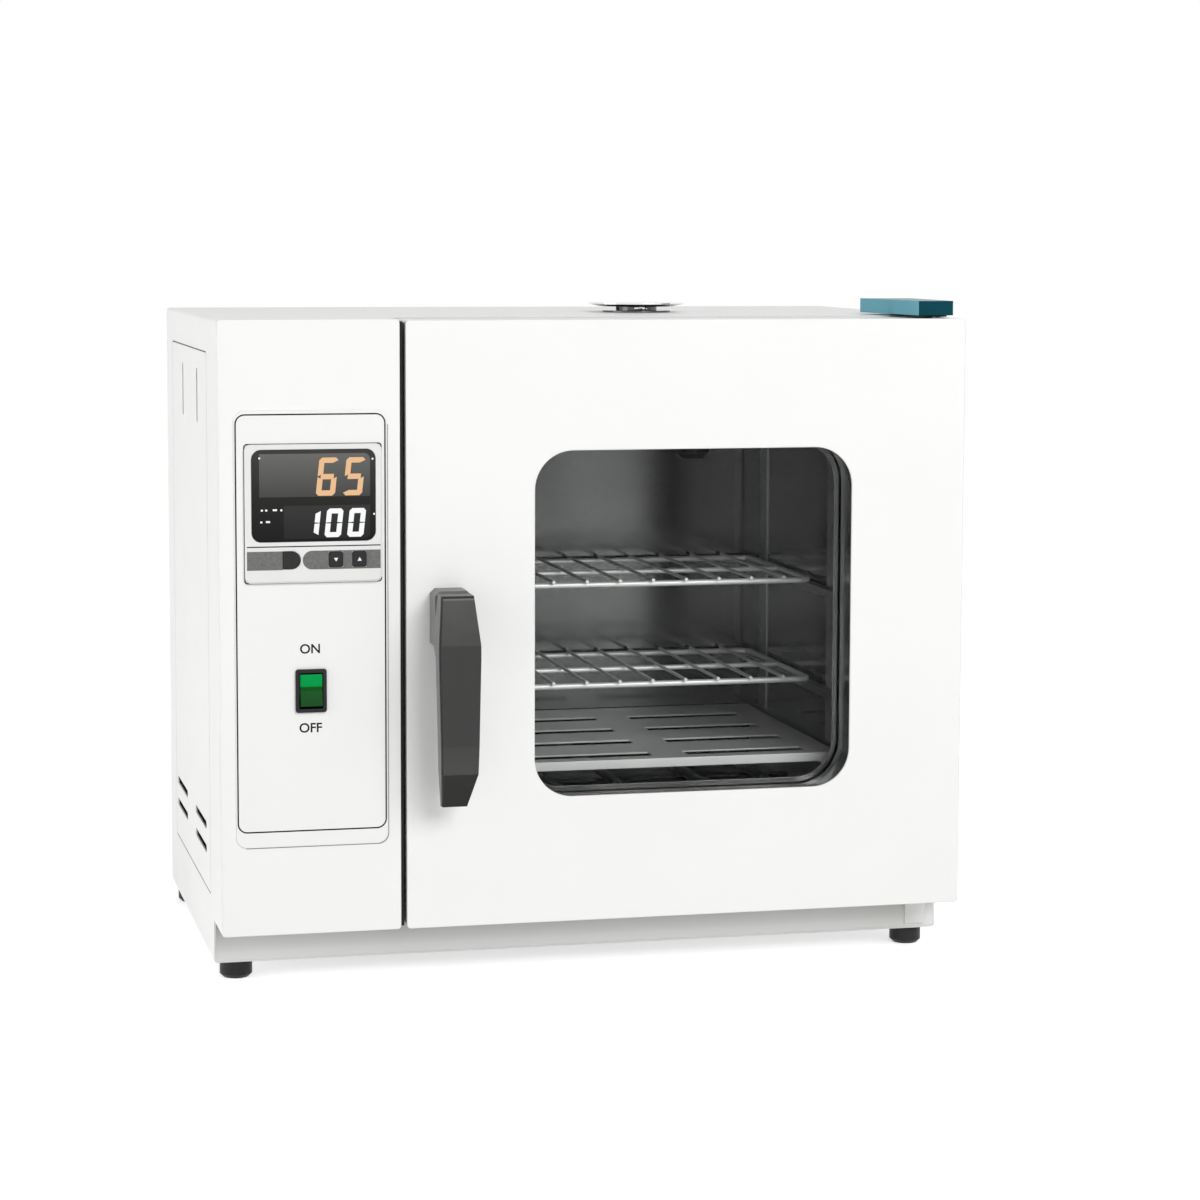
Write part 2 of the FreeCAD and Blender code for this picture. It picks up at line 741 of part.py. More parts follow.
def insulation():
    """Five mineral wool slabs round the chamber."""
    outer_left = "(%s - liner_sheet)" % CHAMBER_LEFT
    outer_right = "(%s + liner_sheet)" % CHAMBER_RIGHT
    outer_base = "(%s - liner_sheet)" % CHAMBER_BASE
    outer_top = "(%s + liner_sheet)" % CHAMBER_TOP
    outer_back = "(%s + liner_sheet)" % CHAMBER_BACK
    wall_right = "(%s + steel_sheet)" % DOOR_LEFT
    across = "%s - %s" % (outer_right, outer_left)
    left = box(wall_right, INSIDE_FRONT, INSIDE_BASE, "%s - %s" % (outer_left, wall_right), INSIDE_DEPTH,
               INSIDE_HEIGHT)
    room_width = "(tongue_width + 2 * latch_slot_margin + 2 * keeper_border)"
    room_height = "(tongue_length + 2 * latch_slot_margin + 2 * keeper_border)"
    room = box("%s - %s / 2" % (LATCH_X, room_width), INSIDE_FRONT, "latch_level - %s / 2" % room_height,
               room_width, "keeper_thickness + tongue_thickness + 2 * tongue_clearance + latch_room",
               room_height)
    node(cut(left, [room]), "insulation_left")
    right = box(outer_right, INSIDE_FRONT, INSIDE_BASE, "cabinet_width / 2 - steel_sheet - %s" % outer_right,
                INSIDE_DEPTH, INSIDE_HEIGHT)
    node(rounded(right, "cabinet_corner", lambda edge: runs_along(edge, "y")
                 and edge.BoundBox.XMin > size("%s - steel_sheet" % RIGHT) - 0.01), "insulation_right")
    top = box(outer_left, INSIDE_FRONT, outer_top, across, INSIDE_DEPTH,
              "cabinet_height - steel_sheet - %s" % outer_top)
    throat = rod("z", CHAMBER_X, VENT_Y, "%s - overshoot" % outer_top, "vent_bore + 2 * vent_wall",
                 "cabinet_height - %s" % outer_top)
    node(cut(top, [throat]), "insulation_top")
    node(box(outer_left, INSIDE_FRONT, INSIDE_BASE, across, INSIDE_DEPTH,
             "%s - %s" % (outer_base, INSIDE_BASE)),
         "insulation_bottom")
    node(box(outer_left, outer_back, outer_base, across, "%s - %s" % (INSIDE_BACK, outer_back),
             "%s - %s" % (outer_top, outer_base)), "insulation_back")


def chamber_liner():
    """The stainless chamber: a deep pan with a flange round its mouth and a hole for the vent."""
    body = new_body("ChamberLiner")
    outer_width = "chamber_width + 2 * liner_sheet"
    outer_height = "chamber_height + 2 * liner_sheet"
    pad_rectangle(body, "front", CHAMBER_X, "chamber_middle", BODY_FRONT, outer_width, outer_height,
                  "chamber_depth + liner_sheet", "chamber_corner + liner_sheet")
    pad_rectangle(body, "front", CHAMBER_X, "chamber_middle", "%s - liner_sheet" % BODY_FRONT,
                  "chamber_width + 2 * liner_flange", "chamber_height + 2 * liner_flange", "liner_sheet",
                  "chamber_corner + liner_flange")
    cut_rectangle(body, "front", CHAMBER_X, "chamber_middle", "%s - liner_sheet" % BODY_FRONT,
                  "chamber_width", "chamber_height", "chamber_depth + liner_sheet", "chamber_corner")
    cut_circle(body, "top", CHAMBER_X, VENT_Y, "%s - overshoot" % CHAMBER_TOP, "vent_bore + 2 * vent_wall",
               "liner_sheet + 2 * overshoot")
    node(body, "chamber_liner")


def shelf_racks():
    """A folded rack on each side wall: two posts and a ledge under each shelf."""
    ledge_drop = "(shelf_rod / 2 + liner_sheet)"
    ledge_front = "%s + rack_inset - ledge_overrun" % BODY_FRONT
    ledge_length = "chamber_depth - 2 * (rack_inset - ledge_overrun)"
    for label, wall, post_x, ledge_x in (
        ("rack_left", CHAMBER_LEFT, CHAMBER_LEFT, CHAMBER_LEFT),
        ("rack_right", CHAMBER_RIGHT, "%s - liner_sheet" % CHAMBER_RIGHT, "%s - ledge_width" % CHAMBER_RIGHT),
    ):
        back = "%s - rack_inset - rack_post" % CHAMBER_BACK
        front = "%s + rack_inset" % BODY_FRONT
        pieces = []
        for y in (front, back):
            pieces.append(box(post_x, y, "floor_level + rack_lift", "liner_sheet", "rack_post",
                              "%s - rack_top_gap - floor_level - rack_lift" % CHAMBER_TOP))
        for level in ("upper_shelf_level", "lower_shelf_level"):
            pieces.append(box(ledge_x, ledge_front, "%s - %s" % (level, ledge_drop), "ledge_width",
                              ledge_length, "liner_sheet"))
            pieces.append(box(post_x, ledge_front, "%s - %s - ledge_web" % (level, ledge_drop), "liner_sheet",
                              ledge_length, "ledge_web"))
        node(fused(pieces), label)


def false_floor():
    """The slotted chamber floor over the heaters, folded down and under at the sides, with a front lip."""
    body = new_body("FalseFloor")
    width = "(chamber_width - 2 * floor_side_gap)"
    length = "(chamber_depth - floor_front_gap - floor_back_gap)"
    front = "(%s + floor_front_gap)" % BODY_FRONT
    height = "(floor_level - %s)" % CHAMBER_BASE
    middle = "%s + %s / 2" % (CHAMBER_BASE, height)
    fold = "(chamber_corner - floor_side_gap)"
    pad_rectangle(body, "front", CHAMBER_X, middle, front, width, height, length, fold)
    cut_rectangle(body, "front", CHAMBER_X, middle, "%s + liner_sheet" % front,
                  "%s - 2 * liner_sheet" % width,
                  "%s - 2 * liner_sheet" % height, length, "%s - liner_sheet" % fold)
    cut_rectangle(body, "front", CHAMBER_X, CHAMBER_BASE, "%s + liner_sheet" % front,
                  "%s - 2 * floor_return" % width, "2 * liner_sheet + 2 * overshoot", length)
    cut_rectangle(body, "front", CHAMBER_X, "%s + (%s - floor_lip) / 2" % (CHAMBER_BASE, height), front,
                  "%s - 2 * floor_leg" % width, "%s - 2 * floor_lip" % height, "liner_sheet", "floor_leg")
    start = "%s + floor_slot_first" % front
    for side in ("-", "+"):
        middle = "%s %s (floor_slot_length + floor_slot_gap) / 2" % (CHAMBER_X, side)
        slot = cut_rectangle(body, "top", middle, start, "floor_level - liner_sheet", "floor_slot_length",
                             "floor_slot_width", "liner_sheet")
        repeat(body, slot, "V_Axis", "floor_slot_pitch", SLOT_ROWS)
    node(body, "false_floor")


def heaters():
    """Two hairpin tube heaters under the false floor, and the two rests that carry them."""
    level = "(%s + heater_lift)" % CHAMBER_BASE
    bend = "(%s + heater_front + heater_bend)" % BODY_FRONT
    hairpins = []
    for side in ("-", "+"):
        middle = "(%s %s heater_spread)" % (CHAMBER_X, side)
        near = "%s - heater_bend * %s" % (bend, SLANT)
        hairpins.append(bent_rod("front", [
            ("%s - heater_bend" % middle, CHAMBER_BACK), ("%s - heater_bend" % middle, bend),
            ("%s - heater_bend * %s" % (middle, SLANT), near), (middle, "%s - heater_bend" % bend),
            ("%s + heater_bend * %s" % (middle, SLANT), near),
            ("%s + heater_bend" % middle, bend), ("%s + heater_bend" % middle, CHAMBER_BACK),
        ], level, "heater_tube", False))
    pair = doc.addObject("Part::Compound", "Heaters")
    pair.Links = hairpins
    node(pair, "heaters")
    strips = []
    for number in range(2):
        y = "%s + heater_rest_front + %d * heater_rest_pitch" % (BODY_FRONT, number)
        strips.append(box("%s + heater_rest_inset" % CHAMBER_LEFT, y, CHAMBER_BASE,
                          "chamber_width - 2 * heater_rest_inset", "heater_rest_width",
                          "heater_lift - heater_tube / 2"))
    whole = doc.addObject("Part::Compound", "HeaterRests")
    whole.Links = strips
    node(whole, "heater_rests")


def vent():
    """The vent on top: a throat with a flange and four windows, and a chromed cap that turns."""
    body = new_body("VentThroat")
    inner = "vent_bore / 2"
    outer = "vent_bore / 2 + vent_wall"
    revolve(body, [
        (inner, CHAMBER_TOP), (outer, CHAMBER_TOP), (outer, "cabinet_height"),
        ("vent_flange / 2", "cabinet_height"), ("vent_flange / 2", "cabinet_height + steel_sheet"),
        (outer, "cabinet_height + steel_sheet"), (outer, "cabinet_height + vent_stem"),
        (inner, "cabinet_height + vent_stem"),
    ])
    window = cut_rectangle(body, "side", "0", "cabinet_height + (steel_sheet + vent_stem) / 2", "0",
                           "vent_window", "vent_stem - steel_sheet - 2 * vent_window_margin",
                           "vent_flange / 2")
    ring_of(body, window, 4)
    set_at(body, CHAMBER_X, VENT_Y, "0")
    node(body, "vent_throat")
    cap = new_body("VentCap")
    skirt = "vent_bore / 2 - running_clearance"
    seat = "cabinet_height + vent_stem + vent_cap_gap"
    inner = "%s - vent_cap_wall" % skirt
    revolve(cap, [
        (skirt, "%s - vent_skirt" % seat), (skirt, seat), ("vent_cap_diameter / 2 - vent_cap_dish", seat),
        ("vent_cap_diameter / 2", "%s + vent_cap_rim" % seat),
        ("vent_cap_diameter / 2", "%s + vent_cap_rim + vent_cap_lip" % seat),
        ("vent_cap_diameter / 2 - vent_cap_dish - overshoot", "%s + vent_cap_thickness" % seat),
        ("0", "%s + vent_cap_thickness" % seat), ("0", "%s + vent_cap_thickness - vent_cap_wall" % seat),
        (inner, "%s + vent_cap_thickness - vent_cap_wall" % seat), (inner, "%s - vent_skirt" % seat),
    ])
    gap = cut_rectangle(cap, "side", "0", "%s - vent_cap_wall - vent_cap_window / 2" % seat, "0",
                        "vent_window", "vent_cap_window", "vent_bore")
    ring_of(cap, gap, 4)
    set_at(cap, CHAMBER_X, VENT_Y, "0")
    node(cap, "vent_cap")


def sensor():
    """The temperature sensor that hangs from the chamber roof inside its black guard."""
    x = "(%s + sensor_right)" % CHAMBER_X
    tip = "(%s - sensor_drop)" % CHAMBER_TOP
    node(rod("z", x, VENT_Y, tip, "sensor_rod", "sensor_drop"), "sensor_rod_piece")
    guard = new_body("SensorGuard")
    base = "%s - sensor_guard_height" % tip
    radius = "sensor_guard / 2"
    revolve(guard, [
        ("0", base), ("%s - sensor_guard_round" % radius, base),
        (radius, "%s + sensor_guard_round" % base), (radius, tip), ("0", tip),
    ])
    set_at(guard, x, VENT_Y, "0")
    node(guard, "sensor_guard_piece")


# Control section

CASE_OPENING = "(controller_case_width + 2 * controller_case_fit)"
MOUTH_WIDTH = "(switch_width - 2 * switch_rim)"
MOUTH_HEIGHT = "(switch_height - 2 * switch_rim)"
SWITCH_BODY_WIDTH = "(switch_width - 2 * switch_rim + 2 * switch_wall)"
SWITCH_BODY_HEIGHT = "(switch_height - 2 * switch_rim + 2 * switch_wall)"


def control_panel():
    """The folded front of the control section, open at the back."""
    body = new_body("ControlPanel")
    middle = "%s + control_width / 2" % LEFT
    pad_rectangle(body, "front", middle, FRONT_Z, "0", "control_width", FRONT_HEIGHT, BODY_FRONT,
                  "cabinet_corner")
    cut_rectangle(body, "front", middle, FRONT_Z, "steel_sheet", "control_width - 2 * steel_sheet",
                  "%s - 2 * steel_sheet" % FRONT_HEIGHT, BODY_FRONT, "cabinet_corner - steel_sheet")
    cut_rectangle(body, "front", CONTROL_X, CONTROL_Z, "0", CASE_OPENING, CASE_OPENING, "steel_sheet")
    cut_rectangle(body, "front", SWITCH_X, SWITCH_Z, "0", "%s + 2 * switch_fit" % SWITCH_BODY_WIDTH,
                  "%s + 2 * switch_fit" % SWITCH_BODY_HEIGHT, "steel_sheet")
    node(body, "control_panel")


def control_plate():
    """The thin raised plate that carries the controls."""
    body = new_body("ControlPlate")
    pad_rectangle(body, "front", "%s + plate_left + plate_width / 2" % LEFT,
                  "cabinet_height - plate_drop - plate_height / 2", "-plate_thickness", "plate_width",
                  "plate_height", "plate_thickness", "plate_corner")
    cut_rectangle(body, "front", CONTROL_X, CONTROL_Z, "-plate_thickness", CASE_OPENING, CASE_OPENING,
                  "plate_thickness")
    cut_rectangle(body, "front", SWITCH_X, SWITCH_Z, "-plate_thickness",
                  "%s + 2 * switch_fit" % SWITCH_BODY_WIDTH,
                  "%s + 2 * switch_fit" % SWITCH_BODY_HEIGHT, "plate_thickness")
    node(body, "control_plate")


BUTTONS = (("set_button", "set_button_across"), ("down_button", "down_button_across"),
           ("up_button", "up_button_across"))
BUTTON_Z = "(cabinet_height - controller_drop - button_level)"


def button_block(make, body, label, across, along, room, length):
    """Make the block of a button, solid or as an opening: a square key, or one with a round right end."""
    place = "%s + controller_left + %s" % (LEFT, across)
    if label != "set_button":
        key = new_sketch(body, "front", place, BUTTON_Z, along)
        draw_rectangle(key, "button_width + 2 * %s" % room, "button_height + 2 * %s" % room,
                       "button_corner + %s" % room)
        make(body, "front", key, length)
        return
    height = "set_button_height + 2 * %s" % room
    key = new_sketch(body, "front", "%s - (set_button_run + %s) / 2" % (place, room), BUTTON_Z, along)
    draw_rectangle(key, "set_button_run + %s" % room, height)
    make(body, "front", key, length)
    end = new_sketch(body, "front", place, BUTTON_Z, along)
    draw_circle(end, height)
    make(body, "front", end, length)


def controller():
    """The temperature controller: case, bezel, display lens and three sprung buttons."""
    case_height = "controller_case_width"
    node(box("%s - controller_case_width / 2" % CONTROL_X, "-plate_thickness",
             "%s - %s / 2" % (CONTROL_Z, case_height),
             "controller_case_width", "controller_case_depth", case_height), "controller_case")
    body = new_body("ControllerBezel")
    pad_rectangle(body, "front", CONTROL_X, CONTROL_Z, BEZEL_FRONT, "controller_width", "controller_height",
                  "controller_proud", "controller_corner")
    screen_z = "(cabinet_height - controller_drop - display_inset - display_height / 2)"
    cut_rectangle(body, "front", CONTROL_X, screen_z, BEZEL_FRONT, "display_width", "display_height",
                  "display_recess + display_thickness", "display_corner")
    for label, across in BUTTONS:
        button_block(pocket, body, label, across, BEZEL_FRONT, "button_clearance", "button_thickness")
    edge_left = size("%s - display_width / 2 - overshoot" % CONTROL_X)
    edge_right = size("%s + display_width / 2 + overshoot" % CONTROL_X)
    bevel_edges(body, "controller_rounding", lambda edge: abs(edge.BoundBox.YMax - size(BEZEL_FRONT)) < 0.001
                and (edge.BoundBox.XMin < edge_left or edge.BoundBox.XMax > edge_right))
    node(body, "controller_bezel")
    lens = new_body("DisplayLens")
    pad_rectangle(lens, "front", CONTROL_X, screen_z, "%s + display_recess" % BEZEL_FRONT,
                  "display_width - 2 * display_fit", "display_height - 2 * display_fit", "display_thickness",
                  "display_corner - display_fit")
    node(lens, "display_lens")
    for label, across in BUTTONS:
        button = new_body("Button")
        button_block(pad, button, label, across, "%s - button_proud" % BEZEL_FRONT, "0", "button_thickness")
        button_front = size("%s - button_proud" % BEZEL_FRONT)
        bevel_edges(button, "button_rounding", lambda edge: abs(edge.BoundBox.YMax - button_front) < 0.001)
        node(button, label)


def power_switch():
    """The mains rocker switch: a housing with an open mouth, and the rocker tilted on its pins in it."""
    body = new_body("SwitchHousing")
    front = "(-plate_thickness - switch_proud)"
    pin_half = "(%s / 2 + rocker_pin_reach)" % MOUTH_WIDTH
    pad_rectangle(body, "front", SWITCH_X, SWITCH_Z, front, "switch_width", "switch_height", "switch_proud",
                  "switch_corner")
    pad_rectangle(body, "front", SWITCH_X, SWITCH_Z, "-plate_thickness", SWITCH_BODY_WIDTH,
                  SWITCH_BODY_HEIGHT, "switch_depth")
    cut_rectangle(body, "front", SWITCH_X, SWITCH_Z, front, MOUTH_WIDTH, MOUTH_HEIGHT,
                  "rocker_depth + switch_proud + switch_room")
    cut_circle(body, "side", "0", SWITCH_Z, "%s - %s - switch_fit" % (SWITCH_X, pin_half),
               "rocker_pin + 2 * running_clearance", "2 * %s + 2 * switch_fit" % pin_half)
    node(body, "switch_housing")
    rocker = new_body("PowerRocker")
    sketch = new_sketch(rocker, "side", "0", "0", "-(%s) / 2 + rocker_clearance" % MOUTH_WIDTH)
    half = "(%s / 2 - rocker_end_gap)" % MOUTH_HEIGHT
    back_half = "(%s - rocker_taper / 2)" % half
    draw_outline(sketch, [
        ("-rocker_nose", "-(%s)" % half), ("-rocker_dip", "0"), ("-rocker_nose", half),
        ("rocker_depth - rocker_taper", back_half), ("rocker_depth", "0"),
        ("rocker_depth - rocker_taper", "-(%s)" % back_half),
    ])
    pad(rocker, "side", sketch, "%s - 2 * rocker_clearance" % MOUTH_WIDTH)
    pins = new_sketch(rocker, "side", "0", "0", "-%s" % pin_half)
    draw_circle(pins, "rocker_pin")
    pad(rocker, "side", pins, "2 * %s" % pin_half)
    rocker.Placement = FreeCAD.Placement(FreeCAD.Vector(), FreeCAD.Rotation(FreeCAD.Vector(-1, 0, 0), 1))
    bind(rocker, Placement__Base__x=SWITCH_X, Placement__Base__z=SWITCH_Z)
    bind(rocker, Placement__Rotation__Angle="rocker_tilt")
    node(rocker, "power_rocker")


def divider_strip():
    """The dark trim in the gap between the control section and the door."""
    x = "%s + control_width + (column_gap - strip_width) / 2 - strip_shift" % LEFT
    node(box(x, "strip_recess", "front_base + strip_end_gap", "strip_width", "%s - strip_recess" % BODY_FRONT,
             "%s - 2 * strip_end_gap" % FRONT_HEIGHT), "divider_strip")


def side_cover():
    """The flush service cover of the left side, with its slots, and the frame behind it."""
    body = new_body("SideCover")
    middle_y = "cover_front + cover_length / 2"
    middle_z = "cover_base + cover_height / 2"
    pad_rectangle(body, "side", middle_y, middle_z, LEFT, "cover_length", "cover_height", "steel_sheet",
                  "cover_corner")
    slot = cut_rectangle(body, "side", "cover_front + cover_slot_front", "cover_slot_level", LEFT,
                         "cover_slot_width", "cover_slot_height", "steel_sheet", "cover_slot_width / 2 - 0.1")
    repeat(body, slot, "H_Axis", "cover_slot_pitch", 2)
    for place in ("louvre_front", "louvre_front + louvre_spread"):
        louvre = cut_rectangle(body, "side", "cover_front + %s" % place, "louvre_level", LEFT,
                               "louvre_length", "louvre_width", "steel_sheet", "louvre_width / 2 - 0.1")
        repeat(body, louvre, "V_Axis", "louvre_pitch", 2)
    node(body, "side_cover")
    frame = new_body("CoverFrame")
    pad_rectangle(frame, "side", middle_y, middle_z, "%s + steel_sheet" % LEFT,
                  "cover_length + 2 * cover_overlap",
                  "cover_height + 2 * cover_overlap", "liner_sheet", "cover_corner + cover_overlap")
    cut_rectangle(frame, "side", middle_y, middle_z, "%s + steel_sheet" % LEFT,
                  "cover_length - 2 * cover_overlap",
                  "cover_height - 2 * cover_overlap", "liner_sheet", "cover_corner")
    node(frame, "cover_frame")


def electrics():
    """The mains inlet at the back, the relay and the terminal block in the control compartment."""
    body = new_body("MainsInlet")
    x = "%s + inlet_across" % LEFT
    mouth = "cabinet_depth + inlet_flange"
    pad_rectangle(body, "front", x, "inlet_level", "cabinet_depth", "inlet_width", "inlet_height",
                  "inlet_flange", "inlet_corner")
    pad_rectangle(body, "front", x, "inlet_level", "cabinet_depth - inlet_depth",
                  "inlet_width - 2 * inlet_lip", "inlet_height - 2 * inlet_lip", "inlet_depth")
    cut_rectangle(body, "front", x, "inlet_level", "%s - inlet_shroud" % mouth,
                  "inlet_width - 2 * (inlet_lip + inlet_side_wall)",
                  "inlet_height - 2 * (inlet_lip + inlet_end_wall)", "inlet_shroud", "inlet_corner")
    for across, up in (("- pin_pitch", "- pin_offset"), ("", "+ pin_offset"),
                       ("+ pin_pitch", "- pin_offset")):
        pad_rectangle(body, "front", "%s %s" % (x, across), "inlet_level %s" % up,
                      "%s - inlet_shroud - overshoot" % mouth, "pin_width", "pin_height", "pin_length")
    node(body, "mains_inlet")
    node(box("%s - relay_width" % DOOR_LEFT, "%s + relay_back" % BODY_FRONT, "latch_level", "relay_width",
             "relay_length", "relay_height"), "relay")
    node(box("%s + terminal_across" % LEFT, "%s - terminal_back - terminal_length" % INSIDE_BACK, INSIDE_BASE,
             "terminal_width", "terminal_length", "terminal_height"), "terminal_block")


# Door

def hinge_notch(depth):
    """The block of space that the lower hinge arm needs in the foot of the door."""
    return box("%s - hinge_notch_reach" % PIVOT_X, depth, "front_base - overshoot",
               "pivot_from_right + hinge_notch_reach + overshoot", "door_thickness",
               "hinge_notch + overshoot")


def door_shell():
    """The outer door pan, with the window, the spindle hole, the upper hinge hole and the lower notch."""
    body = new_body("DoorShell")
    pad_rectangle(body, "front", DOOR_X, DOOR_Z, "0", DOOR_WIDTH, DOOR_HEIGHT, "door_thickness",
                  "cabinet_corner")
    cut_rectangle(body, "front", DOOR_X, DOOR_Z, "steel_sheet", "%s - 2 * steel_sheet" % DOOR_WIDTH,
                  "%s - 2 * steel_sheet" % DOOR_HEIGHT, "door_thickness", "cabinet_corner - steel_sheet")
    cut_rectangle(body, "front", CHAMBER_X, "chamber_middle", "0", "window_width", "window_height",
                  "steel_sheet", "window_corner")
    cut_circle(body, "front", LATCH_X, "latch_level", "0", "spindle_diameter + 2 * spindle_gap",
               "steel_sheet")
    cut_circle(body, "top", PIVOT_X, "pivot_back", "%s - steel_sheet" % DOOR_TOP,
               "hinge_pin + 2 * hinge_collar", "steel_sheet")
    node(cut(body, [hinge_notch("steel_sheet")]), "door_shell")


def door_liner():
    """The inner sheet that closes the back of the door."""
    body = new_body("DoorLiner")
    pad_rectangle(body, "front", DOOR_X, DOOR_Z, DOOR_INSIDE, "%s - 2 * steel_sheet" % DOOR_WIDTH,
                  "%s - 2 * steel_sheet" % DOOR_HEIGHT, "steel_sheet", "cabinet_corner - steel_sheet")
    cut_rectangle(body, "front", CHAMBER_X, "chamber_middle", DOOR_INSIDE, "window_width", "window_height",
                  "steel_sheet", "window_corner")
    cut_circle(body, "front", LATCH_X, "latch_level", DOOR_INSIDE, "spindle_diameter + 4 * spindle_gap",
               "steel_sheet")
    node(cut(body, [hinge_notch("steel_sheet")]), "door_liner")


PANE_WIDTH = "(window_width + 2 * glass_overlap)"
PANE_HEIGHT = "(window_height + 2 * glass_overlap)"
PANE_CORNER = "(window_corner + glass_overlap)"


def door_window():
    """Two glass panes and the surround that holds them apart."""
    for label, front in (("window_glass_outer", "steel_sheet"),
                         ("window_glass_inner", "%s - glass_thickness" % DOOR_INSIDE)):
        pane = new_body("Pane")
        pad_rectangle(pane, "front", CHAMBER_X, "chamber_middle", front, PANE_WIDTH, PANE_HEIGHT,
                      "glass_thickness", PANE_CORNER)
        node(pane, label)
    ring = new_body("WindowSurround")
    front = "steel_sheet + glass_thickness"
    length = "(door_thickness - 2 * steel_sheet - 2 * glass_thickness)"
    pad_rectangle(ring, "front", CHAMBER_X, "chamber_middle", front, PANE_WIDTH, PANE_HEIGHT, length,
                  PANE_CORNER)
    cut_rectangle(ring, "front", CHAMBER_X, "chamber_middle", front, "window_width + 2 * reveal_setback",
                  "window_height + 2 * reveal_setback", length, "window_corner + reveal_setback")
    node(ring, "window_surround")


def block_box(place):
    """The reinforcing block that carries a hinge pin in the door, at its upper or lower corner."""
    base = "%s - steel_sheet - hinge_block_height" % DOOR_TOP
    if place == "lower":
        base = "front_base + hinge_notch"
    return box("%s - hinge_block / 2 + hinge_block_shift" % PIVOT_X, "steel_sheet", base, "hinge_block",
               "hinge_block_depth", "hinge_block_height")


def door_filling():
    """The insulation in the door, cut round the window, the hinge blocks and the spindle."""
    body = new_body("DoorInsulation")
    thickness = "(door_thickness - 2 * steel_sheet)"
    pad_rectangle(body, "front", DOOR_X, DOOR_Z, "steel_sheet", "%s - 2 * steel_sheet" % DOOR_WIDTH,
                  "%s - 2 * steel_sheet" % DOOR_HEIGHT, thickness, "cabinet_corner - steel_sheet")
    cut_rectangle(body, "front", CHAMBER_X, "chamber_middle", "steel_sheet", PANE_WIDTH, PANE_HEIGHT,
                  thickness, PANE_CORNER)
    cut_circle(body, "front", LATCH_X, "latch_level", "steel_sheet", "spindle_diameter + 8 * spindle_gap",
               thickness)
    node(cut(body, [hinge_notch("steel_sheet"), block_box("upper"), block_box("lower")]), "door_insulation")


def hinge_blocks():
    """The bored blocks in the door in which the hinge pins turn."""
    bore = "hinge_pin + 2 * running_clearance"
    collar = rod("z", PIVOT_X, "pivot_back", "%s - steel_sheet" % DOOR_TOP, "hinge_pin + 2 * hinge_collar",
                 "steel_sheet")
    upper = fused([block_box("upper"), collar])
    hole = rod("z", PIVOT_X, "pivot_back", "%s - steel_sheet - hinge_block_height - overshoot" % DOOR_TOP,
               bore, "steel_sheet + hinge_block_height + 2 * overshoot")
    node(cut(upper, [hole]), "hinge_block_upper")
    low_hole = rod("z", PIVOT_X, "pivot_back", "front_base", bore,
                   "hinge_notch + hinge_block_height + overshoot")
    node(cut(block_box("lower"), [low_hole]), "hinge_block_lower")


def door_seal():
    """The silicone gasket on the back of the door."""
    ring = new_body("DoorSeal")
    depth = "(door_gap - liner_sheet - seal_clearance)"
    inner_width = "(chamber_width + 2 * seal_margin)"
    inner_height = "(chamber_height + 2 * seal_margin)"
    pad_rectangle(ring, "front", CHAMBER_X, "chamber_middle", "door_thickness",
                  "%s + 2 * seal_width" % inner_width,
                  "%s + 2 * seal_width" % inner_height, depth, "chamber_corner + seal_margin + seal_width")
    cut_rectangle(ring, "front", CHAMBER_X, "chamber_middle", "door_thickness", inner_width, inner_height,
                  depth, "chamber_corner + seal_margin")
    node(ring, "door_seal")


# Handle and latch

def handle_base():
    """The fixed block of the handle, with sloped lower edges and the bearing for the spindle."""
    body = new_body("HandleBase")
    half = "handle_base_width / 2"
    top = "handle_head + handle_base_rise"
    drop = "handle_base_height - (%s)" % top
    sketch = new_sketch(body, "front", LATCH_X, "latch_level", "-handle_base_depth")
    draw_outline(sketch, [
        ("-(%s - handle_chamfer)" % half, "-(%s)" % drop), ("%s - handle_chamfer" % half, "-(%s)" % drop),
        (half, "-(%s - handle_chamfer)" % drop), (half, "%s - handle_bevel" % top),
        ("%s - handle_bevel" % half, top), ("-(%s - handle_bevel)" % half, top),
        ("-(%s)" % half, "%s - handle_bevel" % top),
        ("-(%s)" % half, "-(%s - handle_chamfer)" % drop),
    ])
    pad(body, "front", sketch, "handle_base_depth")
    cut_circle(body, "front", LATCH_X, "latch_level", "-handle_base_depth",
               "spindle_diameter + 2 * running_clearance", "handle_base_depth")
    node(body, "handle_base")


# Levels of the grip about the spindle: width, distances of the front and back from the door, cover thickness
GRIP = (
    ("handle_head", "grip_top_width", "handle_reach - grip_top_slope", "grip_near", "grip_cover"),
    ("-grip_shoulder_drop", "grip_width", "handle_reach", "grip_near", "grip_cover"),
    ("-grip_neck_drop", "grip_width", "handle_reach", "grip_near + grip_back", "grip_cover"),
    ("-grip_crease_drop", "grip_crease_width", "handle_reach", "grip_near + grip_back", "grip_cover"),
    ("-grip_foot_drop", "grip_foot_width", "handle_reach - grip_slope", "grip_near + grip_back",
     "grip_cover"),
    ("-handle_drop", "grip_end_width", "handle_reach - grip_end_slope", "grip_near - grip_slope",
     "grip_cover / 2"),
)


def grip_part(name, front_of, back_of, narrower):
    """One shell of the grip: a straight-sided loft through six level sections."""
    body = new_body(name)
    sections = []
    for level, width, front, back, cover in GRIP:
        near = front_of(front, back, cover)
        far = back_of(front, back, cover)
        sketch = new_sketch(body, "top", LATCH_X, "-((%s) + (%s)) / 2" % (near, far),
                            "latch_level + (%s)" % level)
        draw_rectangle(sketch, "%s - %s" % (width, narrower), "(%s) - (%s)" % (near, far))
        sections.append(sketch)
    loft = body.newObject("PartDesign::AdditiveLoft", "Grip")
    loft.Profile = sections[0]
    loft.Sections = sections[1:]
    loft.Ruled = True
    doc.recompute()
    return body


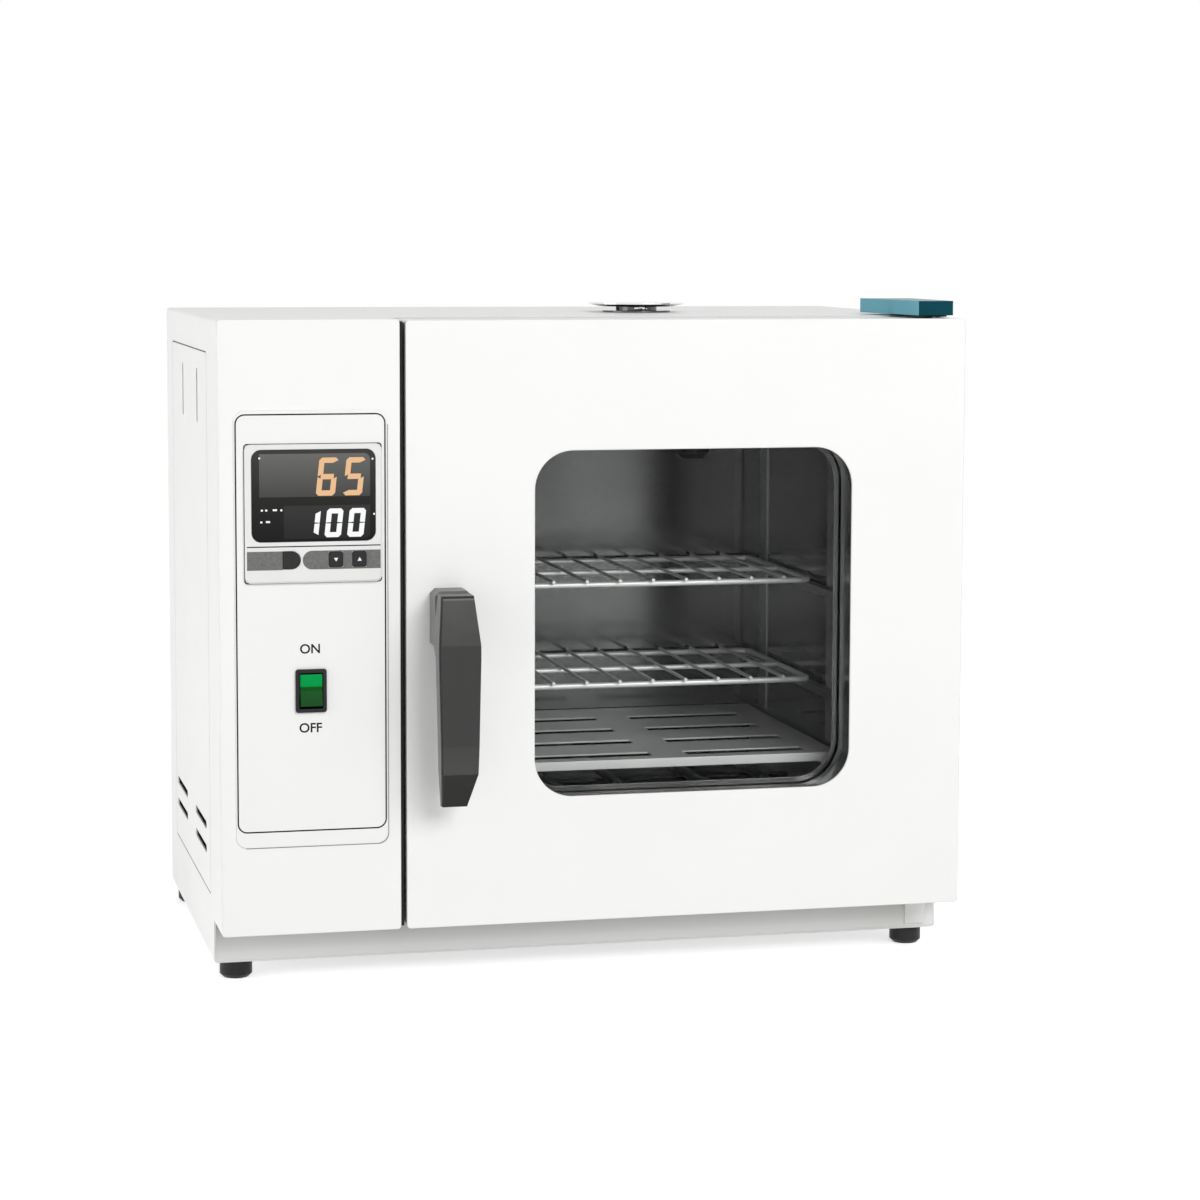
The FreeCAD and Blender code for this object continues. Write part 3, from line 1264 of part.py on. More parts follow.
def handle():
    """The turning lever: back shell, front cover, spindle and latch tongue."""
    lever = grip_part("HandleLever", lambda front, back, cover: "%s - %s" % (front, cover),
                      lambda front, back, cover: back, "0")
    cut_circle(lever, "front", LATCH_X, "latch_level", "-(handle_base_depth + handle_gap + spindle_in_grip)",
               "spindle_diameter", "spindle_in_grip")
    node(lever, "handle_lever")
    cover = grip_part("HandleCover", lambda front, back, cover: front,
                      lambda front, back, cover: "%s - %s + grip_joint" % (front, cover),
                      "2 * grip_cover_inset")
    node(cover, "handle_cover")
    start = "(-(handle_base_depth + handle_gap + spindle_in_grip))"
    tongue_front = "(%s + keeper_thickness + tongue_clearance)" % INSIDE_FRONT
    body = new_body("LatchTongue")
    pad_rectangle(body, "front", LATCH_X, "latch_level", tongue_front, "tongue_width", "tongue_length",
                  "tongue_thickness", "tongue_corner")
    shaft = new_sketch(body, "front", LATCH_X, "latch_level", start)
    draw_circle(shaft, "spindle_diameter")
    pad(body, "front", shaft, "%s - %s" % (tongue_front, start))
    node(body, "latch_spindle")


def latch_keeper():
    """The slotted plate behind the front frame that the tongue turns behind."""
    body = new_body("LatchKeeper")
    width = "(tongue_width + 2 * latch_slot_margin)"
    height = "(tongue_length + 2 * latch_slot_margin)"
    pad_rectangle(body, "front", LATCH_X, "latch_level", INSIDE_FRONT, "%s + 2 * keeper_border" % width,
                  "%s + 2 * keeper_border" % height, "keeper_thickness")
    cut_rectangle(body, "front", LATCH_X, "latch_level", INSIDE_FRONT, width, height, "keeper_thickness",
                  "latch_slot_corner")
    node(body, "latch_keeper")


# Hinges

def hinges():
    """Upper and lower hinge: an arm fixed to the cabinet and a pin that stands in the door."""
    arm_left = "%s - hinge_arm / 2" % PIVOT_X
    arm_front = "(pivot_back - hinge_arm / 2)"
    arm_length = "cap_setback + cap_length - cap_wall - hinge_arm_gap - %s" % arm_front
    plate = box(arm_left, arm_front, "cabinet_height", "hinge_arm", arm_length, "hinge_plate")
    soft = rounded(plate, "hinge_arm / 2 - 0.5", lambda edge: runs_along(edge, "z")
                   and edge.BoundBox.YMax < size(arm_front) + 0.01)
    hole = rod("z", PIVOT_X, "pivot_back", "cabinet_height - overshoot", "hinge_pin",
               "hinge_plate + 2 * overshoot")
    node(cut(soft, [hole]), "hinge_arm_upper")
    node(rod("z", PIVOT_X, "pivot_back", "%s - hinge_pin_reach" % DOOR_TOP, "hinge_pin",
             "hinge_pin_reach + door_top_gap + hinge_plate"), "hinge_pin_upper")
    base = "(front_base + hinge_arm_lift)"
    low = box(arm_left, arm_front, base, "hinge_arm", "%s - %s" % (BODY_FRONT, arm_front), "hinge_plate")
    low_soft = rounded(low, "hinge_arm / 2 - 0.5", lambda edge: runs_along(edge, "z")
                       and edge.BoundBox.YMax < size(arm_front) + 0.01)
    foot = box(arm_left, "%s - hinge_plate" % BODY_FRONT, "%s - hinge_foot" % base, "hinge_arm",
               "hinge_plate", "hinge_foot")
    low_hole = rod("z", PIVOT_X, "pivot_back", "%s - overshoot" % base, "hinge_pin",
                   "hinge_plate + 2 * overshoot")
    node(cut(fused([low_soft, foot]), [low_hole]), "hinge_arm_lower")
    node(rod("z", PIVOT_X, "pivot_back", base, "hinge_pin", "hinge_notch + lower_pin_reach"),
         "hinge_pin_lower")


def hinge_cap():
    """The coloured cap over the upper hinge: a tapered wedge in plan, hollow over the arm."""
    body = new_body("HingeCap")
    right = "(%s - cap_from_right)" % RIGHT
    sketch = new_sketch(body, "top", right, "cap_setback", "cabinet_height + cap_lift")
    draw_outline(sketch, [
        ("0", "0"), ("0", "cap_length"), ("-cap_back_width", "cap_length"), ("-cap_front_width", "0"),
    ])
    pad(body, "top", sketch, "cap_height")
    round_edges(body, "cap_corner", lambda edge: runs_along(edge, "z"))
    cut_rectangle(body, "top", PIVOT_X, "cap_setback + cap_length / 2", "cabinet_height + cap_lift",
                  "hinge_arm + 2 * cap_fit", "cap_length - 2 * cap_wall", "hinge_plate - cap_lift")
    node(body, "hinge_cap")


def feet():
    """Four rubber feet with softly rounded soles."""
    places = (
        ("foot_front_left", "%s + foot_inset" % LEFT, "%s + foot_inset" % BODY_FRONT),
        ("foot_front_right", "%s - foot_inset" % RIGHT, "%s + foot_inset" % BODY_FRONT),
        ("foot_rear_left", "%s + rear_foot_inset" % LEFT, "cabinet_depth - foot_inset"),
        ("foot_rear_right", "%s - rear_foot_inset" % RIGHT, "cabinet_depth - foot_inset"),
    )
    for label, x, y in places:
        body = new_body("Foot")
        radius = "foot_diameter / 2"
        revolve(body, [
            ("0", "0"), ("%s - foot_rounding" % radius, "0"), (radius, "foot_rounding"),
            (radius, "foot_height"), ("0", "foot_height"),
        ])
        set_at(body, x, y, "0")
        node(body, label)


# Shelves

def wire_shelf(label, level):
    """A welded wire shelf: a bent rod frame, a middle rod and the lengthwise wires."""
    radius = "shelf_rod / 2"
    left = "(%s - shelf_span / 2 + %s)" % (CHAMBER_X, radius)
    right = "(%s + shelf_span / 2 - %s)" % (CHAMBER_X, radius)
    front = "(%s + %s)" % (SHELF_FRONT, radius)
    back = "(%s + shelf_length - %s)" % (SHELF_FRONT, radius)
    points = [(CHAMBER_X, front)]
    for x, inward, y, along, turned in (
        (right, "-", front, "+", False), (right, "-", back, "-", True),
        (left, "+", back, "-", False), (left, "+", front, "+", True),
    ):
        corner = [
            ("%s %s shelf_bend" % (x, inward), y),
            ("%s %s shelf_bend * (1 - %s)" % (x, inward, SLANT),
             "%s %s shelf_bend * (1 - %s)" % (y, along, SLANT)),
            (x, "%s %s shelf_bend" % (y, along)),
        ]
        points += reversed(corner) if turned else corner
    pieces = [bent_rod("side", points, level, "shelf_rod", True)]
    pieces.append(rod("x", left, "(%s + %s) / 2" % (front, back), level, "shelf_cross_rod",
                      "%s - %s" % (right, left)))
    lift = "(shelf_rod / 2 + shelf_wire / 2 - weld_depth)"
    for number in range(WIRES):
        pieces.append(rod("y", "%s + wire_border + wire_pitch * %d" % (left, number),
                          "%s - wire_tip" % SHELF_FRONT,
                          "%s + %s" % (level, lift), "shelf_wire", "shelf_length + wire_tip"))
    node(fused(pieces), label)


cabinet_shell()
front_frame()
back_panel()
compartment_wall()
insulation()
chamber_liner()
shelf_racks()
false_floor()
heaters()
vent()
sensor()
control_panel()
control_plate()
controller()
power_switch()
divider_strip()
side_cover()
electrics()
door_shell()
door_liner()
door_window()
door_filling()
hinge_blocks()
door_seal()
handle_base()
handle()
latch_keeper()
hinges()
hinge_cap()
feet()
wire_shelf("shelf_upper", "upper_shelf_level")
wire_shelf("shelf_lower", "lower_shelf_level")
doc.recompute()

for thing in doc.Objects:
    if "Invalid" in thing.State or "Error" in thing.State:
        raise RuntimeError("%s (%s) failed: %s" % (thing.Name, thing.Label, thing.State))
for piece in nodes:
    if piece.Shape.isNull() or not piece.Shape.isValid():
        raise RuntimeError("%s has no valid shape" % piece.Label)

os.makedirs("parts", exist_ok=True)
for piece in nodes:
    piece.Shape.exportStep("parts/%s.step" % piece.Label)
print("wrote %d pieces" % len(nodes))
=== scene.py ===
import json
import math
import bmesh
import bpy
from mathutils import Matrix, Vector

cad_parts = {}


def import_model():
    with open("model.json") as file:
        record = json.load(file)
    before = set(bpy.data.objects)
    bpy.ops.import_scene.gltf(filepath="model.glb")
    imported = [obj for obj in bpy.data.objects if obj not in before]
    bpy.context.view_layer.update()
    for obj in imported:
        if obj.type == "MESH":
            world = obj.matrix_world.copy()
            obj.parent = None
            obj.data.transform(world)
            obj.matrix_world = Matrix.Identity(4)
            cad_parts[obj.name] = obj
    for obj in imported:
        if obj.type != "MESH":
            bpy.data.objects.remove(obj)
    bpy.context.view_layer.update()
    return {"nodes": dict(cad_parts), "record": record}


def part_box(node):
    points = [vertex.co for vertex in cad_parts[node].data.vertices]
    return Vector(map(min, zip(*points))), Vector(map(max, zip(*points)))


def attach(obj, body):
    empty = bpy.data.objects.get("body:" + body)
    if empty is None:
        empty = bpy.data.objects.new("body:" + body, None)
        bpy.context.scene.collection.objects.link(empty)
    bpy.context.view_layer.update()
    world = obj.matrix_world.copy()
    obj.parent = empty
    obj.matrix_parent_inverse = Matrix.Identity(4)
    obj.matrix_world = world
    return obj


# A bench laboratory oven: camera, light, materials and the fine pieces on the CAD frame.
# Lengths are metres in the frame of the CAD. X runs right, Y runs back and Z runs up.

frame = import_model()
MM = 0.001


# Places read from the frame

def front_of(name):
    """Return how far forward a CAD node reaches."""
    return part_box(name)[0][1]


PLATE_FRONT = front_of("control_plate")
BEZEL_FRONT = front_of("controller_bezel")
LENS_FRONT = front_of("display_lens")
BACK_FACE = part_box("back_panel")[1][1]
CABINET_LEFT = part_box("cabinet_shell")[0][0]
BEZEL_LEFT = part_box("controller_bezel")[0][0]
BEZEL_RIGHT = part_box("controller_bezel")[1][0]
BEZEL_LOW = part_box("controller_bezel")[0][2]
BEZEL_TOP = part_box("controller_bezel")[1][2]
FIGURE_FRONT = LENS_FRONT - 0.14 * MM
FIGURE_BACK = LENS_FRONT - 0.09 * MM
PRINT_THICKNESS = 0.06 * MM

# Stretch of a pattern that runs upright in streaks
UPRIGHT = (1.0, 1.0, 0.12)

# Numbers of the colour sockets of a mix node
MIX_FIRST = 6
MIX_SECOND = 7
MIX_RESULT = 2


# Material helpers

def add_link(tree, start, end):
    """Join an output to an input."""
    tree.links.new(start, end)


def new_surface(name, colour, roughness, metallic=0.0, specular=0.5):
    """Return a material with one principled shader, and that shader."""
    material = bpy.data.materials.new(name)
    material.use_nodes = True
    shader = material.node_tree.nodes["Principled BSDF"]
    shader.inputs["Base Color"].default_value = (*colour, 1.0)
    shader.inputs["Roughness"].default_value = roughness
    shader.inputs["Metallic"].default_value = metallic
    shader.inputs["Specular IOR Level"].default_value = specular
    return material, shader


def noise(tree, scale, detail=4.0, stretch=(1.0, 1.0, 1.0)):
    """Return the output of a noise texture in object space, stretched along the axes."""
    place = tree.nodes.new("ShaderNodeTexCoord")
    mapping = tree.nodes.new("ShaderNodeMapping")
    texture = tree.nodes.new("ShaderNodeTexNoise")
    mapping.inputs["Scale"].default_value = stretch
    texture.inputs["Scale"].default_value = scale
    texture.inputs["Detail"].default_value = detail
    add_link(tree, place.outputs["Object"], mapping.inputs["Vector"])
    add_link(tree, mapping.outputs["Vector"], texture.inputs["Vector"])
    return texture.outputs["Fac"]


def spread(tree, value, low, high):
    """Return a value of about one half spread between two numbers."""
    ramp = tree.nodes.new("ShaderNodeMapRange")
    ramp.inputs["From Min"].default_value = 0.3
    ramp.inputs["From Max"].default_value = 0.7
    ramp.inputs["To Min"].default_value = low
    ramp.inputs["To Max"].default_value = high
    add_link(tree, value, ramp.inputs["Value"])
    return ramp.outputs["Result"]


def vary_roughness(material, shader, scale, low, high, stretch=(1.0, 1.0, 1.0)):
    """Let the roughness wander between two values."""
    tree = material.node_tree
    add_link(tree, spread(tree, noise(tree, scale, 3.0, stretch), low, high), shader.inputs["Roughness"])


def vary_colour(material, shader, first, second, scale, stretch=(1.0, 1.0, 1.0)):
    """Let the colour wander between two colours."""
    tree = material.node_tree
    ramp = tree.nodes.new("ShaderNodeValToRGB")
    ramp.color_ramp.elements[0].position = 0.35
    ramp.color_ramp.elements[1].position = 0.65
    ramp.color_ramp.elements[0].color = (*first, 1.0)
    ramp.color_ramp.elements[1].color = (*second, 1.0)
    add_link(tree, noise(tree, scale, 4.0, stretch), ramp.inputs["Fac"])
    add_link(tree, ramp.outputs["Color"], shader.inputs["Base Color"])


def add_relief(material, shader, scale, height, softness=0.0, stretch=(1.0, 1.0, 1.0)):
    """Give a surface fine relief, and soft edges of a radius where one is wanted."""
    tree = material.node_tree
    bump = tree.nodes.new("ShaderNodeBump")
    bump.inputs["Strength"].default_value = 1.0
    bump.inputs["Distance"].default_value = height
    add_link(tree, noise(tree, scale, 3.0, stretch), bump.inputs["Height"])
    if softness:
        bevel = tree.nodes.new("ShaderNodeBevel")
        bevel.inputs["Radius"].default_value = softness
        add_link(tree, bevel.outputs["Normal"], bump.inputs["Normal"])
    add_link(tree, bump.outputs["Normal"], shader.inputs["Normal"])


# Materials

def enamel(name, first, second, roughness):
    """Powder-coated sheet: even, faintly mottled, with a fine orange-peel relief."""
    material, shader = new_surface(name, first, roughness)
    vary_colour(material, shader, first, second, 14.0)
    vary_roughness(material, shader, 40.0, roughness - 0.05, roughness + 0.06)
    add_relief(material, shader, 900.0, 0.00002, 0.0012)
    shader.inputs["Coat Weight"].default_value = 0.15
    shader.inputs["Coat Roughness"].default_value = 0.2
    return material


def enamel_with_painted_shade():
    """The white enamel of the front frame, with painted shade: greyer on the band under the overhang, where
    the overhang's shadow falls.
    """
    low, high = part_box("front_frame")
    material, shader = new_surface("frame_enamel_painted_shade", (0.89, 0.89, 0.88), 0.42)
    reach = high[2] - low[2]
    bottom = (24.0 * MM - low[2]) / reach
    middle = (38.0 * MM - low[2]) / reach
    top = (49.5 * MM - low[2]) / reach
    # Painted shade: the band darkens towards the overhang above it.
    fade_along(material, shader, "Z", low[2], high[2],
               [(0.0, (0.90, 0.90, 0.89)), (bottom, (0.88, 0.88, 0.87)), (middle, (0.62, 0.62, 0.61)),
                (top, (0.30, 0.30, 0.295)), (top + 0.02, (0.88, 0.88, 0.87)), (1.0, (0.90, 0.90, 0.89))])
    vary_roughness(material, shader, 40.0, 0.37, 0.48)
    add_relief(material, shader, 900.0, 0.00002, 0.0012)
    return material


def brushed(name, first, second, roughness, scale, stretch, metallic=1.0):
    """Rolled metal sheet with broad soft streaks."""
    material, shader = new_surface(name, first, roughness, metallic)
    vary_colour(material, shader, first, second, scale, stretch)
    vary_roughness(material, shader, scale * 2, roughness - 0.03, roughness + 0.04, stretch)
    add_relief(material, shader, scale * 3, 0.00003, 0.0008, stretch)
    return material


def liner_steel():
    """Dark mirror-like steel of the chamber, with painted shade: far darker than the steel itself, and
    darker still below the false floor.
    """
    low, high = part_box("chamber_liner")
    material, shader = new_surface("polished_liner_painted_shade", (0.1, 0.1, 0.1), 0.14, 1.0)
    floor_line = (168.0 * MM - low[2]) / (high[2] - low[2])
    # Painted shade: the dim inside, darkest below the false floor.
    fade_along(material, shader, "Z", low[2], high[2],
               [(0.0, (0.016, 0.015, 0.014)), (floor_line - 0.01, (0.022, 0.021, 0.020)),
                (floor_line + 0.01, (0.085, 0.085, 0.084)), (1.0, (0.105, 0.105, 0.104))])
    stripe_colour(material, shader, 11.0, 0.75, 1.35)
    vary_roughness(material, shader, 22.0, 0.11, 0.18, UPRIGHT)
    add_relief(material, shader, 33.0, 0.00003, 0.0008, UPRIGHT)
    return material


def galvanised():
    """Zinc-coated sheet with soft spangle."""
    material, shader = new_surface("galvanised_sheet", (0.42, 0.43, 0.45), 0.45, 0.9)
    vary_colour(material, shader, (0.36, 0.37, 0.39), (0.50, 0.51, 0.53), 90.0)
    vary_roughness(material, shader, 90.0, 0.35, 0.55)
    add_relief(material, shader, 200.0, 0.00002, 0.0006)
    return material


def plated(name, colour, roughness, metallic=1.0):
    """Bright plated metal, smooth with slight haze."""
    material, shader = new_surface(name, colour, roughness, metallic)
    vary_roughness(material, shader, 120.0, roughness, roughness + 0.08)
    add_relief(material, shader, 500.0, 0.000006, 0.0005)
    return material


def heater_tube():
    """Heat-tinted tube, brown and blue in bands."""
    material, shader = new_surface("heat_tinted_tube", (0.12, 0.10, 0.10), 0.45, 0.8)
    vary_colour(material, shader, (0.10, 0.07, 0.06), (0.12, 0.13, 0.18), 30.0)
    add_relief(material, shader, 400.0, 0.00003)
    return material


def mineral_wool():
    """Loose yellow-grey fibre board."""
    material, shader = new_surface("mineral_wool", (0.45, 0.38, 0.20), 0.95)
    vary_colour(material, shader, (0.38, 0.31, 0.15), (0.56, 0.48, 0.28), 120.0, (1.0, 1.0, 5.0))
    add_relief(material, shader, 350.0, 0.0006, 0.0, (1.0, 1.0, 6.0))
    return material


def moulded(name, first, second, roughness, specular=0.25, softness=0.0008):
    """Moulded plastic with a fine spark grain."""
    material, shader = new_surface(name, first, roughness, 0.0, specular)
    vary_colour(material, shader, first, second, 35.0)
    vary_roughness(material, shader, 80.0, roughness - 0.04, roughness + 0.06)
    add_relief(material, shader, 1400.0, 0.00003, softness)
    return material


def pane():
    """Clear oven glass: almost see-through, with mirror gloss at flat angles."""
    material = bpy.data.materials.new("oven_glass")
    material.use_nodes = True
    tree = material.node_tree
    tree.nodes.clear()
    result = tree.nodes.new("ShaderNodeOutputMaterial")
    mix = tree.nodes.new("ShaderNodeMixShader")
    clear = tree.nodes.new("ShaderNodeBsdfTransparent")
    gloss = tree.nodes.new("ShaderNodeBsdfGlossy")
    fresnel = tree.nodes.new("ShaderNodeFresnel")
    clear.inputs["Color"].default_value = (0.975, 0.98, 0.978, 1.0)
    gloss.inputs["Roughness"].default_value = 0.02
    fresnel.inputs["IOR"].default_value = 1.12
    bump = tree.nodes.new("ShaderNodeBump")
    bump.inputs["Distance"].default_value = 0.00002
    add_link(tree, noise(tree, 9.0, 1.0), bump.inputs["Height"])
    add_link(tree, bump.outputs["Normal"], gloss.inputs["Normal"])
    add_link(tree, fresnel.outputs["Fac"], mix.inputs["Fac"])
    add_link(tree, clear.outputs["BSDF"], mix.inputs[1])
    add_link(tree, gloss.outputs["BSDF"], mix.inputs[2])
    add_link(tree, mix.outputs["Shader"], result.inputs["Surface"])
    return material


def rubber(name, first, second, roughness):
    """Moulded rubber, dull with a faint bloom."""
    material, shader = new_surface(name, first, roughness, 0.0, 0.2)
    vary_colour(material, shader, first, second, 60.0)
    add_relief(material, shader, 700.0, 0.00004, 0.0008)
    return material


def fade_along(material, shader, axis, low, high, stops):
    """Colour a surface from one place to another along an axis of object space."""
    tree = material.node_tree
    place = tree.nodes.new("ShaderNodeTexCoord")
    apart = tree.nodes.new("ShaderNodeSeparateXYZ")
    reach = tree.nodes.new("ShaderNodeMapRange")
    ramp = tree.nodes.new("ShaderNodeValToRGB")
    reach.inputs["From Min"].default_value = low
    reach.inputs["From Max"].default_value = high
    points = ramp.color_ramp.elements
    while len(points) < len(stops):
        points.new(0.5)
    for point, (position, colour) in zip(points, stops):
        point.position = position
        point.color = (*colour, 1.0)
    add_link(tree, place.outputs["Object"], apart.inputs["Vector"])
    add_link(tree, apart.outputs[axis], reach.inputs["Value"])
    add_link(tree, reach.outputs["Result"], ramp.inputs["Fac"])
    add_link(tree, ramp.outputs["Color"], shader.inputs["Base Color"])


def stripe_colour(material, shader, scale, low, high):
    """Multiply a colour by broad upright streaks."""
    tree = material.node_tree
    product = tree.nodes.new("ShaderNodeVectorMath")
    product.operation = "SCALE"
    before = shader.inputs["Base Color"].links[0].from_socket
    streaks = spread(tree, noise(tree, scale, 3.0, UPRIGHT), low, high)
    add_link(tree, before, product.inputs[0])
    add_link(tree, streaks, product.inputs["Scale"])
    add_link(tree, product.outputs["Vector"], shader.inputs["Base Color"])


def paint_light_and_shade_by_facing(material, shader, axis, colour):
    """Give the faces that look along an axis of object space a colour of their own, as painted light and
    shade.
    """
    tree = material.node_tree
    place = tree.nodes.new("ShaderNodeTexCoord")
    apart = tree.nodes.new("ShaderNodeSeparateXYZ")
    size = tree.nodes.new("ShaderNodeMath")
    share = tree.nodes.new("ShaderNodeMapRange")
    mix = tree.nodes.new("ShaderNodeMix")
    size.operation = "ABSOLUTE"
    share.inputs["From Min"].default_value = 0.6
    share.inputs["From Max"].default_value = 0.8
    mix.data_type = "RGBA"
    before = shader.inputs["Base Color"].links[0].from_socket
    add_link(tree, place.outputs["Normal"], apart.inputs["Vector"])
    add_link(tree, apart.outputs[axis], size.inputs[0])
    add_link(tree, size.outputs["Value"], share.inputs["Value"])
    add_link(tree, share.outputs["Result"], mix.inputs["Factor"])
    add_link(tree, before, mix.inputs[MIX_FIRST])
    mix.inputs[MIX_SECOND].default_value = (*colour, 1.0)
    add_link(tree, mix.outputs[MIX_RESULT], shader.inputs["Base Color"])


def screen():
    """The smoked display lens, with a painted reflection: lighter towards its top."""
    low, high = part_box("display_lens")
    material, shader = new_surface("smoked_lens_painted_reflection", (0.05, 0.05, 0.05), 0.12, 0.0, 0.05)
    # Painted reflection: the lens gets lighter towards the top.
    fade_along(material, shader, "Z", low[2], high[2],
               [(0.0, (0.012, 0.012, 0.012)), (0.5, (0.026, 0.026, 0.025)), (1.0, (0.052, 0.052, 0.050))])
    add_relief(material, shader, 300.0, 0.000004, 0.0006)
    return material


def smoked_field():
    """The fields behind the figures, with a faint painted glow, lighter towards the top as a painted
    reflection: the upper one is brighter.
    """
    low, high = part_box("display_lens")
    material, shader = new_surface("smoked_field", (0.06, 0.06, 0.06), 0.15, 0.0, 0.05)
    # Painted glow and painted reflection: lighter towards the top.
    fade_along(material, shader, "Z", low[2], high[2],
               [(0.0, (0.022, 0.022, 0.022)), (0.4, (0.042, 0.042, 0.041)), (0.5, (0.070, 0.070, 0.068)),
                (1.0, (0.150, 0.150, 0.147))])
    add_relief(material, shader, 300.0, 0.000004)
    return material


def rocker_plastic():
    """The green rocker, with painted light on its pressed upper third, which is lighter than the rest."""
    low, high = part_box("power_rocker")
    material, shader = new_surface("green_rocker_painted_light", (0.02, 0.2, 0.05), 0.25, 0.0, 0.05)
    # Painted light: the upper third is lighter than the rest.
    fade_along(material, shader, "Z", low[2], high[2],
               [(0.0, (0.002, 0.060, 0.008)), (0.60, (0.004, 0.085, 0.011)), (0.64, (0.001, 0.31, 0.062)),
                (1.0, (0.001, 0.34, 0.072))])
    add_relief(material, shader, 600.0, 0.00001, 0.0008)
    return material


def handle_front():
    """The front shell of the handle, with painted light and shade: a grey for each facet, a painted
    highlight line near its top edge, and near black on its sides and ends as painted shade.
    """
    low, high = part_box("handle_cover")
    material, shader = new_surface("dark_handle_plastic", (0.05, 0.05, 0.05), 0.38, 0.0, 0.14)
    reach = high[2] - low[2]
    foot = (185.0 * MM - low[2]) / reach
    crease = (207.5 * MM - low[2]) / reach
    shoulder = (288.5 * MM - low[2]) / reach
    # Painted light and shade: a dark foot, a grey for each facet above it, a painted highlight line near the
    # top and near black at the very top.
    fade_along(material, shader, "Z", low[2], high[2],
               [(0.0, (0.010, 0.010, 0.009)), (foot - 0.003, (0.015, 0.015, 0.014)),
                (foot + 0.003, (0.066, 0.066, 0.064)), (crease - 0.002, (0.054, 0.054, 0.053)),
                (crease + 0.004, (0.046, 0.046, 0.045)), (shoulder - 0.003, (0.046, 0.046, 0.045)),
                (shoulder + 0.003, (0.042, 0.042, 0.041)), (0.983, (0.062, 0.062, 0.060)),
                (0.985, (0.17, 0.17, 0.168)), (0.990, (0.15, 0.15, 0.148)), (0.992, (0.004, 0.004, 0.004)),
                (1.0, (0.004, 0.004, 0.004))])
    # Painted shade: the sides and ends are near black.
    paint_light_and_shade_by_facing(material, shader, "X", (0.004, 0.004, 0.004))
    paint_light_and_shade_by_facing(material, shader, "Z", (0.004, 0.004, 0.004))
    vary_roughness(material, shader, 80.0, 0.34, 0.44)
    add_relief(material, shader, 1400.0, 0.00003, 0.0005)
    return material


def cap_plastic():
    """The teal cover of the hinge, with painted light: paler on its long sides and top than on its end."""
    material, shader = new_surface("teal_cap_plastic", (0.001, 0.05, 0.07), 0.35, 0.0, 0.08)
    vary_colour(material, shader, (0.0005, 0.049, 0.070), (0.001, 0.055, 0.078), 30.0)
    # Painted light: faces that look sideways and up are a paler teal.
    paint_light_and_shade_by_facing(material, shader, "X", (0.16, 0.45, 0.55))
    paint_light_and_shade_by_facing(material, shader, "Z", (0.17, 0.34, 0.37))
    add_relief(material, shader, 1400.0, 0.00003, 0.0008)
    return material


def glowing(name, colour, strength):
    """A lit figure: mottled slightly as printed lamps are."""
    material, shader = new_surface(name, (0.02, 0.02, 0.02), 0.5)
    tree = material.node_tree
    ramp = tree.nodes.new("ShaderNodeValToRGB")
    ramp.color_ramp.elements[0].color = (*[part * 0.92 for part in colour], 1.0)
    ramp.color_ramp.elements[1].color = (*colour, 1.0)
    add_link(tree, noise(tree, 300.0), ramp.inputs["Fac"])
    add_link(tree, ramp.outputs["Color"], shader.inputs["Emission Color"])
    shader.inputs["Emission Strength"].default_value = strength
    return material


def ink(name, colour):
    """Screen-printed ink, slightly uneven."""
    material, shader = new_surface(name, colour, 0.5, 0.0, 0.15)
    vary_colour(material, shader, colour, tuple(part * 1.3 + 0.004 for part in colour), 400.0)
    add_relief(material, shader, 2500.0, 0.00001)
    return material


SURFACES = {
    "white_enamel": enamel("white_enamel_coat", (0.905, 0.905, 0.893), (0.895, 0.896, 0.884), 0.42),
    "plate_enamel": enamel("plate_enamel_coat", (0.885, 0.885, 0.873), (0.875, 0.876, 0.864), 0.38),
    "galvanised": galvanised(),
    # Painted shade: this stainless steel is a dark grey, far darker than the steel itself, for the dim
    # inside.
    "stainless": brushed("brushed_stainless_painted_shade", (0.10, 0.10, 0.10), (0.16, 0.16, 0.158), 0.16, 11.0, UPRIGHT),
    "shelf_steel": plated("bright_wire", (0.92, 0.92, 0.91), 0.34, 0.3),
    "heater_steel": heater_tube(),
    "wool": mineral_wool(),
    "pane": pane(),
    "gasket": rubber("silicone_gasket", (0.022, 0.022, 0.024), (0.032, 0.032, 0.034), 0.7),
    "dark_trim": moulded("dark_trim_plastic", (0.018, 0.018, 0.018), (0.026, 0.026, 0.025), 0.5, 0.1),
    "chrome_cap": plated("polished_chrome", (0.86, 0.86, 0.87), 0.06),
    "handle_grey": moulded("grey_handle_plastic", (0.165, 0.165, 0.162), (0.190, 0.190, 0.187), 0.42),
    "handle_dark": handle_front(),
    "latch_steel": plated("turned_steel", (0.42, 0.42, 0.43), 0.30),
    "hinge_paint": moulded("black_hinge_paint", (0.008, 0.008, 0.009), (0.014, 0.014, 0.015), 0.45),
    "cap_teal": cap_plastic(),
    "bezel_white": moulded("white_bezel_plastic", (0.80, 0.80, 0.79), (0.83, 0.83, 0.82), 0.35),
    "case_black": moulded("black_case_plastic", (0.008, 0.008, 0.008), (0.013, 0.013, 0.013), 0.45),
    "screen": screen(),
    "button_dark": moulded("dark_button_rubber", (0.010, 0.010, 0.011), (0.016, 0.016, 0.017), 0.5),
    "rocker_green": rocker_plastic(),
    "foot_rubber": rubber("black_foot_rubber", (0.018, 0.018, 0.018), (0.030, 0.030, 0.029), 0.40),
}
PALE_STEEL = brushed("satin_sheet", (0.72, 0.72, 0.71), (0.90, 0.90, 0.89), 0.40, 9.0, (1.0, 0.4, 1.0), 0.5)
RACK_STEEL = brushed("rack_sheet", (0.36, 0.36, 0.36), (0.48, 0.48, 0.478), 0.34, 11.0, UPRIGHT)
